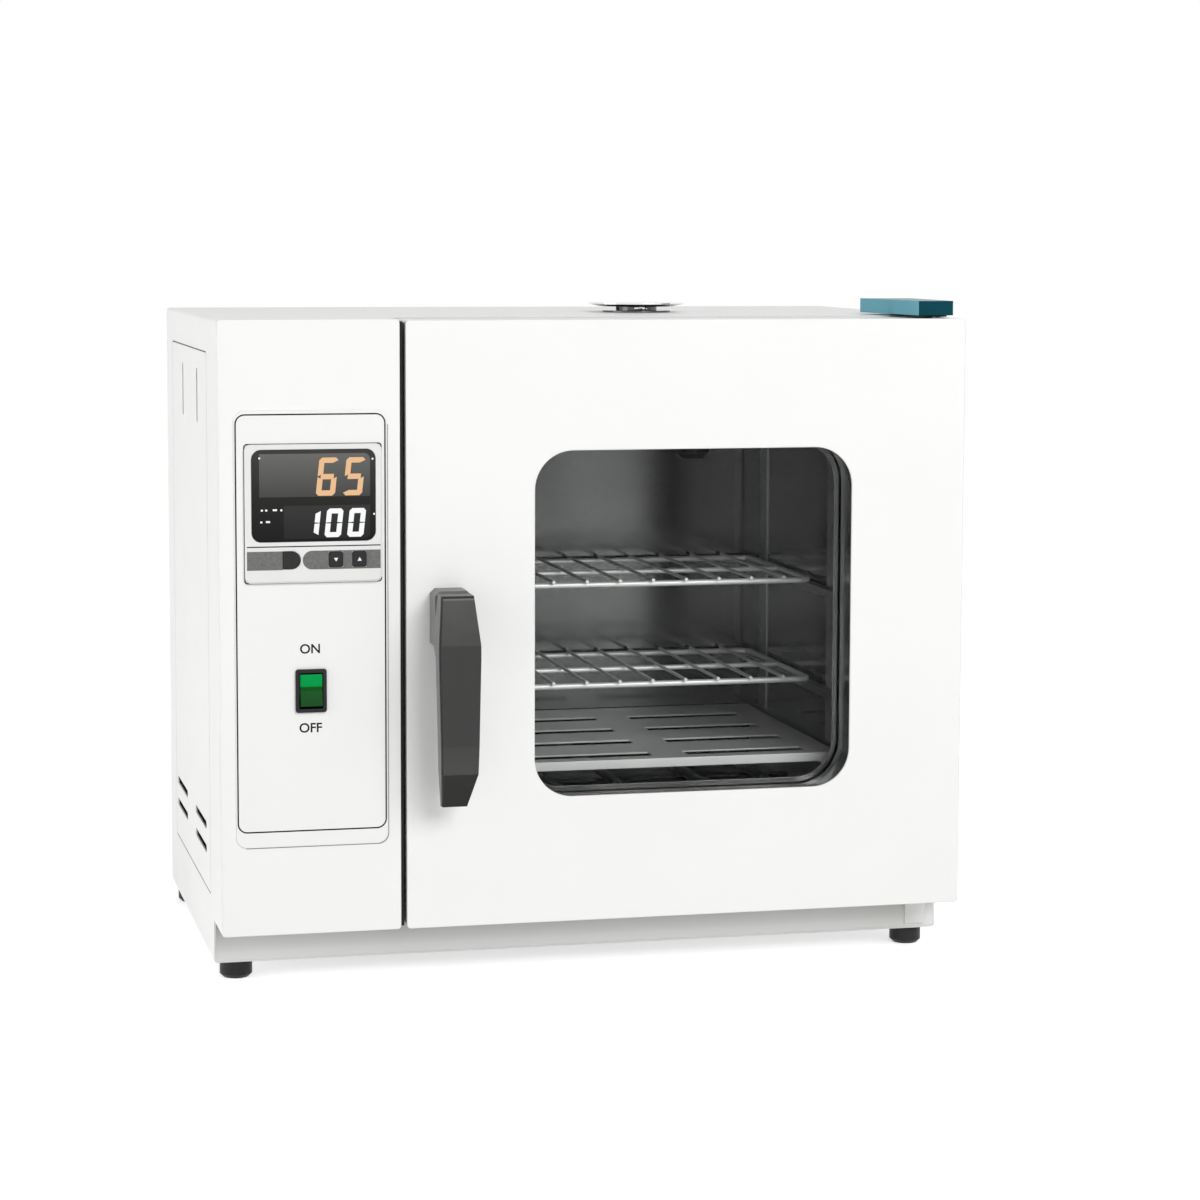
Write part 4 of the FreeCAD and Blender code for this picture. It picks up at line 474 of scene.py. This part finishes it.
# Painted shade: the door's steel is a dark grey, far darker than the steel itself, for the dim inside.
DOOR_STEEL_PAINTED_SHADE = brushed("door_sheet_painted_shade", (0.16, 0.16, 0.16), (0.24, 0.24, 0.238), 0.18, 11.0, UPRIGHT)
BLACK_INK = ink("black_print", (0.004, 0.004, 0.004))
GREY_INK = ink("grey_print", (0.142, 0.142, 0.139))
WHITE_INK = ink("white_print", (0.80, 0.80, 0.79))
SMOKE_PAINTED_GLOW = smoked_field()
ORANGE_LIGHT = glowing("orange_lamp", (0.80, 0.47, 0.22), 1.0)
WHITE_LIGHT = glowing("white_lamp", (0.93, 0.94, 0.95), 1.0)

# Nodes with a finish other than that of their slot
OWN_FINISH = {
    "false_floor": PALE_STEEL,
    "rack_left": RACK_STEEL,
    "rack_right": RACK_STEEL,
    "window_surround": DOOR_STEEL_PAINTED_SHADE,
    "door_liner": DOOR_STEEL_PAINTED_SHADE,
    "chamber_liner": liner_steel(),
    "front_frame": enamel_with_painted_shade(),
    "hinge_arm_lower": SURFACES["white_enamel"],
}

# Breadth of the soft edges, in millimetres
SOFT_EDGES = {
    "handle_cover": 0.3,
    "handle_lever": 0.8,
    "handle_base": 1.2,
    "window_surround": 0.5,
    "hinge_cap": 0.8,
}


def dress_nodes():
    """Give every CAD node the finish of its slot in the record, or one of its own."""
    for part in frame["record"]["subparts"]:
        thing = frame["nodes"][part["node"]]
        surface = OWN_FINISH.get(part["node"], SURFACES[part["material_slot"]])
        if not thing.material_slots:
            thing.data.materials.append(surface)
        for place in thing.material_slots:
            place.link = "OBJECT"
            place.material = surface
    for name, breadth in SOFT_EDGES.items():
        soften = frame["nodes"][name].modifiers.new("soft_edges", "BEVEL")
        soften.width = breadth * MM
        soften.segments = 2
        soften.limit_method = "ANGLE"
        soften.angle_limit = math.radians(20)


# Mesh helpers

def finish_piece(name, mesh, surface, body):
    """Make an object of a mesh, and let it ride on a body with a finish."""
    thing = bpy.data.objects.new(name, mesh)
    bpy.context.scene.collection.objects.link(thing)
    thing.data.materials.append(surface)
    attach(thing, body)
    return thing


def rounded_outline(left, right, low, high, corners, steps=8):
    """Return the corner points of a rectangle in X and Z, with a radius at each corner."""
    centres = (
        (right, low, corners[0], -90, -1, 1), (right, high, corners[1], 0, -1, -1),
        (left, high, corners[2], 90, 1, -1), (left, low, corners[3], 180, 1, 1),
    )
    points = []
    for x, z, radius, start, side_x, side_z in centres:
        if radius <= 0:
            points.append((x, z))
            continue
        for step in range(steps + 1):
            angle = math.radians(start + 90 * step / steps)
            points.append((x + side_x * radius + radius * math.cos(angle),
                           z + side_z * radius + radius * math.sin(angle)))
    return points


def add_slab(mesh, points, front, back):
    """Add a flat closed slab whose outline lies in X and Z."""
    near = [mesh.verts.new((x, front, z)) for x, z in points]
    far = [mesh.verts.new((x, back, z)) for x, z in points]
    mesh.faces.new(near)
    mesh.faces.new(list(reversed(far)))
    count = len(points)
    for number in range(count):
        following = (number + 1) % count
        mesh.faces.new((near[following], near[number], far[number], far[following]))


def join_loops(mesh, loops):
    """Span faces between each loop of corners and the next one."""
    for first, second in zip(loops, loops[1:]):
        for number in range(len(first)):
            following = (number + 1) % len(first)
            mesh.faces.new((first[number], first[following], second[following], second[number]))


def add_ring(mesh, outer, inner, front, back):
    """Add a flat closed ring between two outlines of as many points."""
    loops = []
    for points, y in ((outer, front), (inner, front), (inner, back), (outer, back)):
        loops.append([mesh.verts.new((x, y, z)) for x, z in points])
    join_loops(mesh, loops + [loops[0]])


def mesh_of(name, build):
    """Return a mesh that a function fills in, with outward normals."""
    work = bmesh.new()
    build(work)
    bmesh.ops.recalc_face_normals(work, faces=work.faces)
    mesh = bpy.data.meshes.new(name)
    work.to_mesh(mesh)
    work.free()
    return mesh


def slab_piece(name, outlines, front, back, surface, body):
    """Make one piece of several flat slabs."""
    def build(work):
        for points in outlines:
            add_slab(work, points, front, back)
    return finish_piece(name, mesh_of(name, build), surface, body)


def ring_piece(name, box, radius, width, front, back, surface, body):
    """Make a thin outline with round corners."""
    left, right, low, high = box
    outer = rounded_outline(left, right, low, high, [radius] * 4)
    inner = rounded_outline(left + width, right - width, low + width, high - width, [radius - width] * 4)
    mesh = mesh_of(name, lambda work: add_ring(work, outer, inner, front, back))
    return finish_piece(name, mesh, surface, body)


# Prints on the control plate

def plate_prints():
    """The thin printed outline of the control plate, and ON and OFF by the switch."""
    box = (-299.4 * MM, -178.2 * MM, 134.2 * MM, 471.2 * MM)
    radius = 8.0 * MM
    width = 1.15 * MM
    switch_x = -240.0 * MM
    ring_piece("plate_outline", box, radius, width, PLATE_FRONT - PRINT_THICKNESS, PLATE_FRONT, BLACK_INK,
               "cabinet")
    # Painted shadow of the raised plate.
    plate_shadow_line()
    word("switch_word_on", "ON", switch_x, 282.0 * MM)
    word("switch_word_off", "OFF", switch_x, 218.0 * MM)


def plate_shadow_line():
    """A thin grey painted shadow along the right and lower edge of the raised plate."""
    low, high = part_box("control_plate")
    face = front_of("control_panel")
    radius = 8.0 * MM
    start = high[2] - 12.0 * MM
    breadth = 0.6 * MM
    steps = 8
    inner = [(high[0], start)]
    outer = [(high[0] + breadth, start)]
    for step in range(steps + 1):
        angle = math.radians(-90.0 * step / steps)
        across = high[0] - radius + math.cos(angle) * radius
        down = low[2] + radius + math.sin(angle) * radius
        inner.append((across, down))
        outer.append((across + breadth * math.cos(angle), down + breadth * math.sin(angle)))
    inner.append((low[0] + radius, low[2]))
    outer.append((low[0] + radius, low[2] - breadth))
    outline = outer + list(reversed(inner))
    slab_piece("plate_painted_shadow", [outline], face - 0.35 * MM, face, GREY_INK, "cabinet")


def word(name, text, x, z):
    """A word printed on the plate about a point."""
    curve = bpy.data.curves.new(name, "FONT")
    curve.body = text
    curve.size = 10.6 * MM
    curve.align_x = "CENTER"
    curve.align_y = "CENTER"
    curve.offset = 0.18 * MM
    curve.extrude = PRINT_THICKNESS / 2
    thing = bpy.data.objects.new(name, curve)
    upright = Matrix.Rotation(math.radians(90), 4, "X")
    thing.matrix_world = Matrix.Translation((x, PLATE_FRONT - PRINT_THICKNESS / 2, z)) @ upright
    bpy.context.scene.collection.objects.link(thing)
    curve.materials.append(BLACK_INK)
    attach(thing, "cabinet")


# Face of the temperature controller

SEGMENTS = {"0": "abcdef", "1": "bc", "5": "acdfg", "6": "acdefg"}


def segment_outlines(figure, left, low, width, height, bar, slant):
    """Return the outlines of the lit segments of one seven-segment figure."""
    half = bar / 2
    gap = bar * 0.07
    notch = half if "g" in SEGMENTS[figure] else gap
    middle = height / 2
    flat = [(0.0, 0.0), (half, half), (width - half, half),
            (width, 0.0), (width - half, -half), (half, -half)]
    outlines = []
    for segment in SEGMENTS[figure]:
        if segment in "adg":
            level = {"a": height - half, "g": middle, "d": half}[segment]
            points = [(min(max(x, gap + half), width - gap - half), level + z) for x, z in flat]
            if segment == "a":
                points = [(half, height), (width - half, height), (width, height - half),
                          (width - bar, height - bar), (bar, height - bar), (0.0, height - half)]
            if segment == "d":
                points = [(half, 0.0), (0.0, half), (bar, bar),
                          (width - bar, bar), (width, half), (width - half, 0.0)]
        else:
            upper = segment in "bf"
            start = middle + gap if upper else half
            end = height - half if upper else middle - gap
            inner_start = start + notch if upper else bar
            inner_end = height - bar if upper else end - notch
            points = [(0.0, start), (0.0, end), (bar, inner_end), (bar, inner_start)]
            if segment in "bc":
                points = [(width - x, z) for x, z in points]
        outlines.append([(left + x + slant * z, low + z) for x, z in points])
    return outlines


def number_piece(name, figures, right, low, high, width, pitch, bar, surface):
    """A row of slanted seven-segment figures that ends at a right side."""
    slant = 0.11
    height = high - low
    outlines = []
    for place, figure in enumerate(reversed(figures)):
        left = right - slant * height - width - place * pitch
        outlines += segment_outlines(figure, left, low, width, height, bar, slant)
    return slab_piece(name, outlines, FIGURE_FRONT, FIGURE_BACK, surface, "cabinet")


def lamp_outlines(spots, half_width, half_height, corner):
    """Return small outlines about spots, all in millimetres from the left side and from the bench."""
    outlines = []
    for x, z in spots:
        left = CABINET_LEFT + (x - half_width) * MM
        right = CABINET_LEFT + (x + half_width) * MM
        low = (z - half_height) * MM
        high = (z + half_height) * MM
        outlines.append(rounded_outline(left, right, low, high, [corner * MM] * 4, 3))
    return outlines


def display_figures():
    """The lit figures of the display, on two lighter fields of painted glow, the indicator lamps, and three
    painted glints at the corners of the lens.
    """
    side = CABINET_LEFT
    fields = [
        rounded_outline(side + 32.0 * MM, side + 121.0 * MM, 405.0 * MM, 439.5 * MM, [0, 5 * MM, 0, 0]),
        rounded_outline(side + 51.5 * MM, side + 121.0 * MM, 371.5 * MM, 398.0 * MM, [4 * MM, 0, 0, 0]),
    ]
    # The fields behind the figures carry a painted glow.
    slab_piece("display_fields", fields, LENS_FRONT - 0.06 * MM, LENS_FRONT, SMOKE_PAINTED_GLOW, "cabinet")
    number_piece("upper_figures", "65", right=side + 117.6 * MM, low=405.7 * MM, high=436.2 * MM,
                 width=15.4 * MM, pitch=21.8 * MM, bar=4.3 * MM, surface=ORANGE_LIGHT)
    number_piece("lower_figures", "100", right=side + 117.8 * MM, low=372.4 * MM, high=395.4 * MM,
                 width=13.2 * MM, pitch=18.2 * MM, bar=4.0 * MM, surface=WHITE_LIGHT)
    state_spots = ((34.0, 394.6), (37.5, 394.6), (43.5, 394.8), (45.2, 394.8), (49.5, 394.6),
                   (33.5, 385.2), (38.0, 385.4), (39.6, 385.4))
    # Painted glints: three small glowing spots at the corners of the lens, standing for highlights.
    painted_glint_spots = ((32.2, 436.2), (123.0, 434.8), (124.2, 390.5))
    lamps = lamp_outlines(state_spots, 0.9, 0.8, 0.6) + lamp_outlines(painted_glint_spots, 0.8, 0.8, 0.7)
    # One piece holds the indicator lamps and the painted glints.
    slab_piece("indicator_lamps", lamps, FIGURE_FRONT, FIGURE_BACK, WHITE_LIGHT, "cabinet")


def well_of(name):
    """Return the sides of the well round a button."""
    low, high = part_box(name)
    room = 0.3 * MM
    return low[0] - room, high[0] + room, low[2] - room, high[2] + room


def band_slabs(left, right, low, high, round_end, wells):
    """Return slabs that cover a band with a round left end and leave out the button wells."""
    slabs = []
    start = left
    start_radius = round_end
    for well_left, well_right, well_low, well_high in wells:
        slabs.append(rounded_outline(start, well_left, low, high, [0, 0, start_radius, start_radius]))
        slabs.append(rounded_outline(well_left, well_right, low, well_low, [0] * 4))
        slabs.append(rounded_outline(well_left, well_right, well_high, high, [0] * 4))
        start = well_right
        start_radius = 0
    slabs.append(rounded_outline(start, right, low, high, [0] * 4))
    return slabs


def controller_face():
    """The gasket round the controller, the line under the display and the button bands."""
    reach = 0.45 * MM
    inset = 1.3 * MM
    rim = (BEZEL_LEFT - reach, BEZEL_RIGHT + reach, BEZEL_LOW - reach, BEZEL_TOP + reach)
    ring_piece("controller_gasket", rim, 2.6 * MM, 2 * reach, PLATE_FRONT - 0.4 * MM, PLATE_FRONT, BLACK_INK,
               "cabinet")
    left = BEZEL_LEFT + inset
    right = BEZEL_RIGHT - inset
    front = BEZEL_FRONT - 0.12 * MM
    line_front = BEZEL_FRONT - 0.05 * MM
    line = rounded_outline(left, right, 365.0 * MM, 365.9 * MM, [0] * 4)
    slab_piece("display_line", [line], line_front, BEZEL_FRONT, BLACK_INK, "cabinet")
    low = 346.8 * MM
    high = 361.8 * MM
    round_end = (high - low) / 2 - 0.1 * MM
    down_well = well_of("down_button")
    up_well = well_of("up_button")
    grey_left = [rounded_outline(left, well_of("set_button")[0], low, high, [0] * 4)]
    grey_start = down_well[0] - 20.8 * MM
    grey_right = band_slabs(grey_start, right, low, high, round_end, [down_well, up_well])
    slab_piece("button_band_left", grey_left, front, BEZEL_FRONT, GREY_INK, "cabinet")
    slab_piece("button_band_right", grey_right, front, BEZEL_FRONT, GREY_INK, "cabinet")


def button_marks():
    """An arrow on each of the two setting buttons."""
    for body, direction in (("down_button", -1), ("up_button", 1)):
        low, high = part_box(body)
        x = (low[0] + high[0]) / 2
        z = (low[2] + high[2]) / 2
        reach = 1.7 * MM
        arrow = [(x - reach, z - direction * reach * 0.8), (x + reach, z - direction * reach * 0.8),
                 (x, z + direction * reach)]
        slab_piece("arrow_" + body, [arrow], low[1] - 0.05 * MM, low[1], WHITE_INK, body)


# Joint of the side cover

def cover_joint():
    """The dark joint round the removable side cover, flush with the side."""
    low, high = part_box("side_cover")
    near = CABINET_LEFT + 0.04 * MM
    far = near + 0.4 * MM
    gap = 1.0 * MM
    room = 0.02 * MM

    def build(work):
        loops = []
        for reach, x in ((gap, near), (room, near), (room, far), (gap, far)):
            corners = ((low[1] - reach, low[2] - reach), (high[1] + reach, low[2] - reach),
                       (high[1] + reach, high[2] + reach), (low[1] - reach, high[2] + reach))
            loops.append([work.verts.new((x, y, z)) for y, z in corners])
        join_loops(work, loops + [loops[0]])
    finish_piece("cover_joint", mesh_of("cover_joint", build), BLACK_INK, "cabinet")


# Screws of the back

def add_screw(work, x, y, z, radius):
    """Add a pan-head screw with a round pit in its crown, facing the back."""
    rings = ((1.0, 0.0), (1.0, 0.25), (0.9, 0.55), (0.62, 0.78), (0.3, 0.86))
    loops = []
    count = 20
    for share, height in rings:
        loop = []
        for step in range(count):
            angle = 2 * math.pi * step / count
            loop.append(work.verts.new((x + radius * share * math.cos(angle), y + radius * height * 0.6,
                                        z + radius * share * math.sin(angle))))
        loops.append(loop)
    join_loops(work, loops)
    pit = work.verts.new((x, y + radius * 0.25, z))
    for step in range(count):
        work.faces.new((loops[-1][step], loops[-1][(step + 1) % count], pit))
    work.faces.new(loops[0])


def back_screws():
    """The screws round the back sheet."""
    low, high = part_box("back_panel")
    inset = 9.0 * MM
    spots = []
    for z in (low[2] + inset, (low[2] + high[2]) / 2, high[2] - inset):
        spots += [(low[0] + inset, z), (high[0] - inset, z)]
    for share in (0.27, 0.5, 0.75):
        x = low[0] + (high[0] - low[0]) * share
        spots += [(x, low[2] + inset), (x, high[2] - inset)]

    def build(work):
        for x, z in spots:
            add_screw(work, x, BACK_FACE, z, 3.2 * MM)
    thing = finish_piece("back_screws", mesh_of("back_screws", build), SURFACES["latch_steel"], "cabinet")
    for face in thing.data.polygons:
        face.use_smooth = True


# Camera, light and floor

def camera():
    """The camera at the photograph's place, from a fit of its main edges."""
    data = bpy.data.cameras.new("camera")
    data.lens = 93.65
    data.sensor_width = 36.0
    data.shift_y = -0.05
    data.clip_end = 50.0
    place = (-0.5938, -2.6417, 0.6151)
    yaw = math.radians(13.498)
    pitch = math.radians(-5.619)
    roll = math.radians(0.186)
    ahead = Vector((math.sin(yaw) * math.cos(pitch), math.cos(yaw) * math.cos(pitch), math.sin(pitch)))
    right = Vector((math.cos(yaw), -math.sin(yaw), 0.0))
    up = right.cross(ahead)
    across = math.cos(roll) * right + math.sin(roll) * up
    upward = -math.sin(roll) * right + math.cos(roll) * up
    turn = Matrix((across, upward, -ahead)).transposed().to_4x4()
    thing = bpy.data.objects.new("camera", data)
    thing.matrix_world = Matrix.Translation(place) @ turn
    bpy.context.scene.collection.objects.link(thing)
    bpy.context.scene.camera = thing


def softbox(name, place, target, width, height, power):
    """A large soft lamp that points at a spot."""
    data = bpy.data.lights.new(name, "AREA")
    data.shape = "RECTANGLE"
    data.size = width
    data.size_y = height
    data.energy = power
    thing = bpy.data.objects.new(name, data)
    thing.location = place
    thing.rotation_euler = (Vector(target) - Vector(place)).to_track_quat("-Z", "Y").to_euler()
    bpy.context.scene.collection.objects.link(thing)


def seen_directly(tree):
    """Return a value of one for rays that show the backdrop: camera, mirror and glass rays."""
    path = tree.nodes.new("ShaderNodeLightPath")
    first = tree.nodes.new("ShaderNodeMath")
    second = tree.nodes.new("ShaderNodeMath")
    first.operation = "MAXIMUM"
    second.operation = "MAXIMUM"
    add_link(tree, path.outputs["Is Camera Ray"], first.inputs[0])
    add_link(tree, path.outputs["Is Glossy Ray"], first.inputs[1])
    add_link(tree, first.outputs["Value"], second.inputs[0])
    add_link(tree, path.outputs["Is Transmission Ray"], second.inputs[1])
    return second.outputs["Value"]


def world():
    """A white backdrop with softer light from all round."""
    scene_world = bpy.data.worlds.new("studio")
    bpy.context.scene.world = scene_world
    scene_world.use_nodes = True
    tree = scene_world.node_tree
    tree.nodes.clear()
    result = tree.nodes.new("ShaderNodeOutputWorld")
    mix = tree.nodes.new("ShaderNodeMixShader")
    fill = tree.nodes.new("ShaderNodeBackground")
    white = tree.nodes.new("ShaderNodeBackground")
    fill.inputs["Color"].default_value = (1.0, 1.0, 1.0, 1.0)
    fill.inputs["Strength"].default_value = 0.42
    white.inputs["Color"].default_value = (1.0, 1.0, 1.0, 1.0)
    white.inputs["Strength"].default_value = 1.0
    add_link(tree, seen_directly(tree), mix.inputs["Fac"])
    add_link(tree, fill.outputs["Background"], mix.inputs[1])
    add_link(tree, white.outputs["Background"], mix.inputs[2])
    add_link(tree, mix.outputs["Shader"], result.inputs["Surface"])


def floor():
    """A wide pale floor that runs to white and keeps the object's shadow."""
    reach = 12.0
    level = -0.2 * MM
    places = ((-reach, -reach), (reach, -reach), (reach, reach), (-reach, reach))

    def build(work):
        work.faces.new([work.verts.new((x, y, level)) for x, y in places])
    thing = bpy.data.objects.new("floor", mesh_of("floor", build))
    bpy.context.scene.collection.objects.link(thing)
    material, shader = new_surface("pale_floor", (0.90, 0.90, 0.90), 0.9)
    vary_colour(material, shader, (0.895, 0.895, 0.895), (0.905, 0.905, 0.905), 0.6)
    shader.inputs["Specular IOR Level"].default_value = 0.0
    tree = material.node_tree
    add_link(tree, glow_seen_directly(tree, 0.62), shader.inputs["Emission Strength"])
    shader.inputs["Emission Color"].default_value = (1.0, 1.0, 1.0, 1.0)
    thing.data.materials.append(material)


def glow_seen_directly(tree, strength):
    """Return a strength for rays that show the backdrop, and none for the light on the object."""
    product = tree.nodes.new("ShaderNodeMath")
    product.operation = "MULTIPLY"
    product.inputs[1].default_value = strength
    add_link(tree, seen_directly(tree), product.inputs[0])
    return product.outputs["Value"]


def studio():
    """Camera, lamps, backdrop and floor."""
    camera()
    softbox("front_box", (1.15, -3.35, 2.25), (0.0, 0.0, 0.26), 2.0, 1.8, 81.0)
    softbox("left_box", (-2.6, -0.4, 0.7), (0.0, 0.0, 0.28), 1.6, 1.6, 23.0)
    world()
    floor()


dress_nodes()
plate_prints()
controller_face()
display_figures()
button_marks()
cover_joint()
back_screws()
studio()
bpy.context.scene.view_settings.view_transform = "Standard"
bpy.context.view_layer.update()
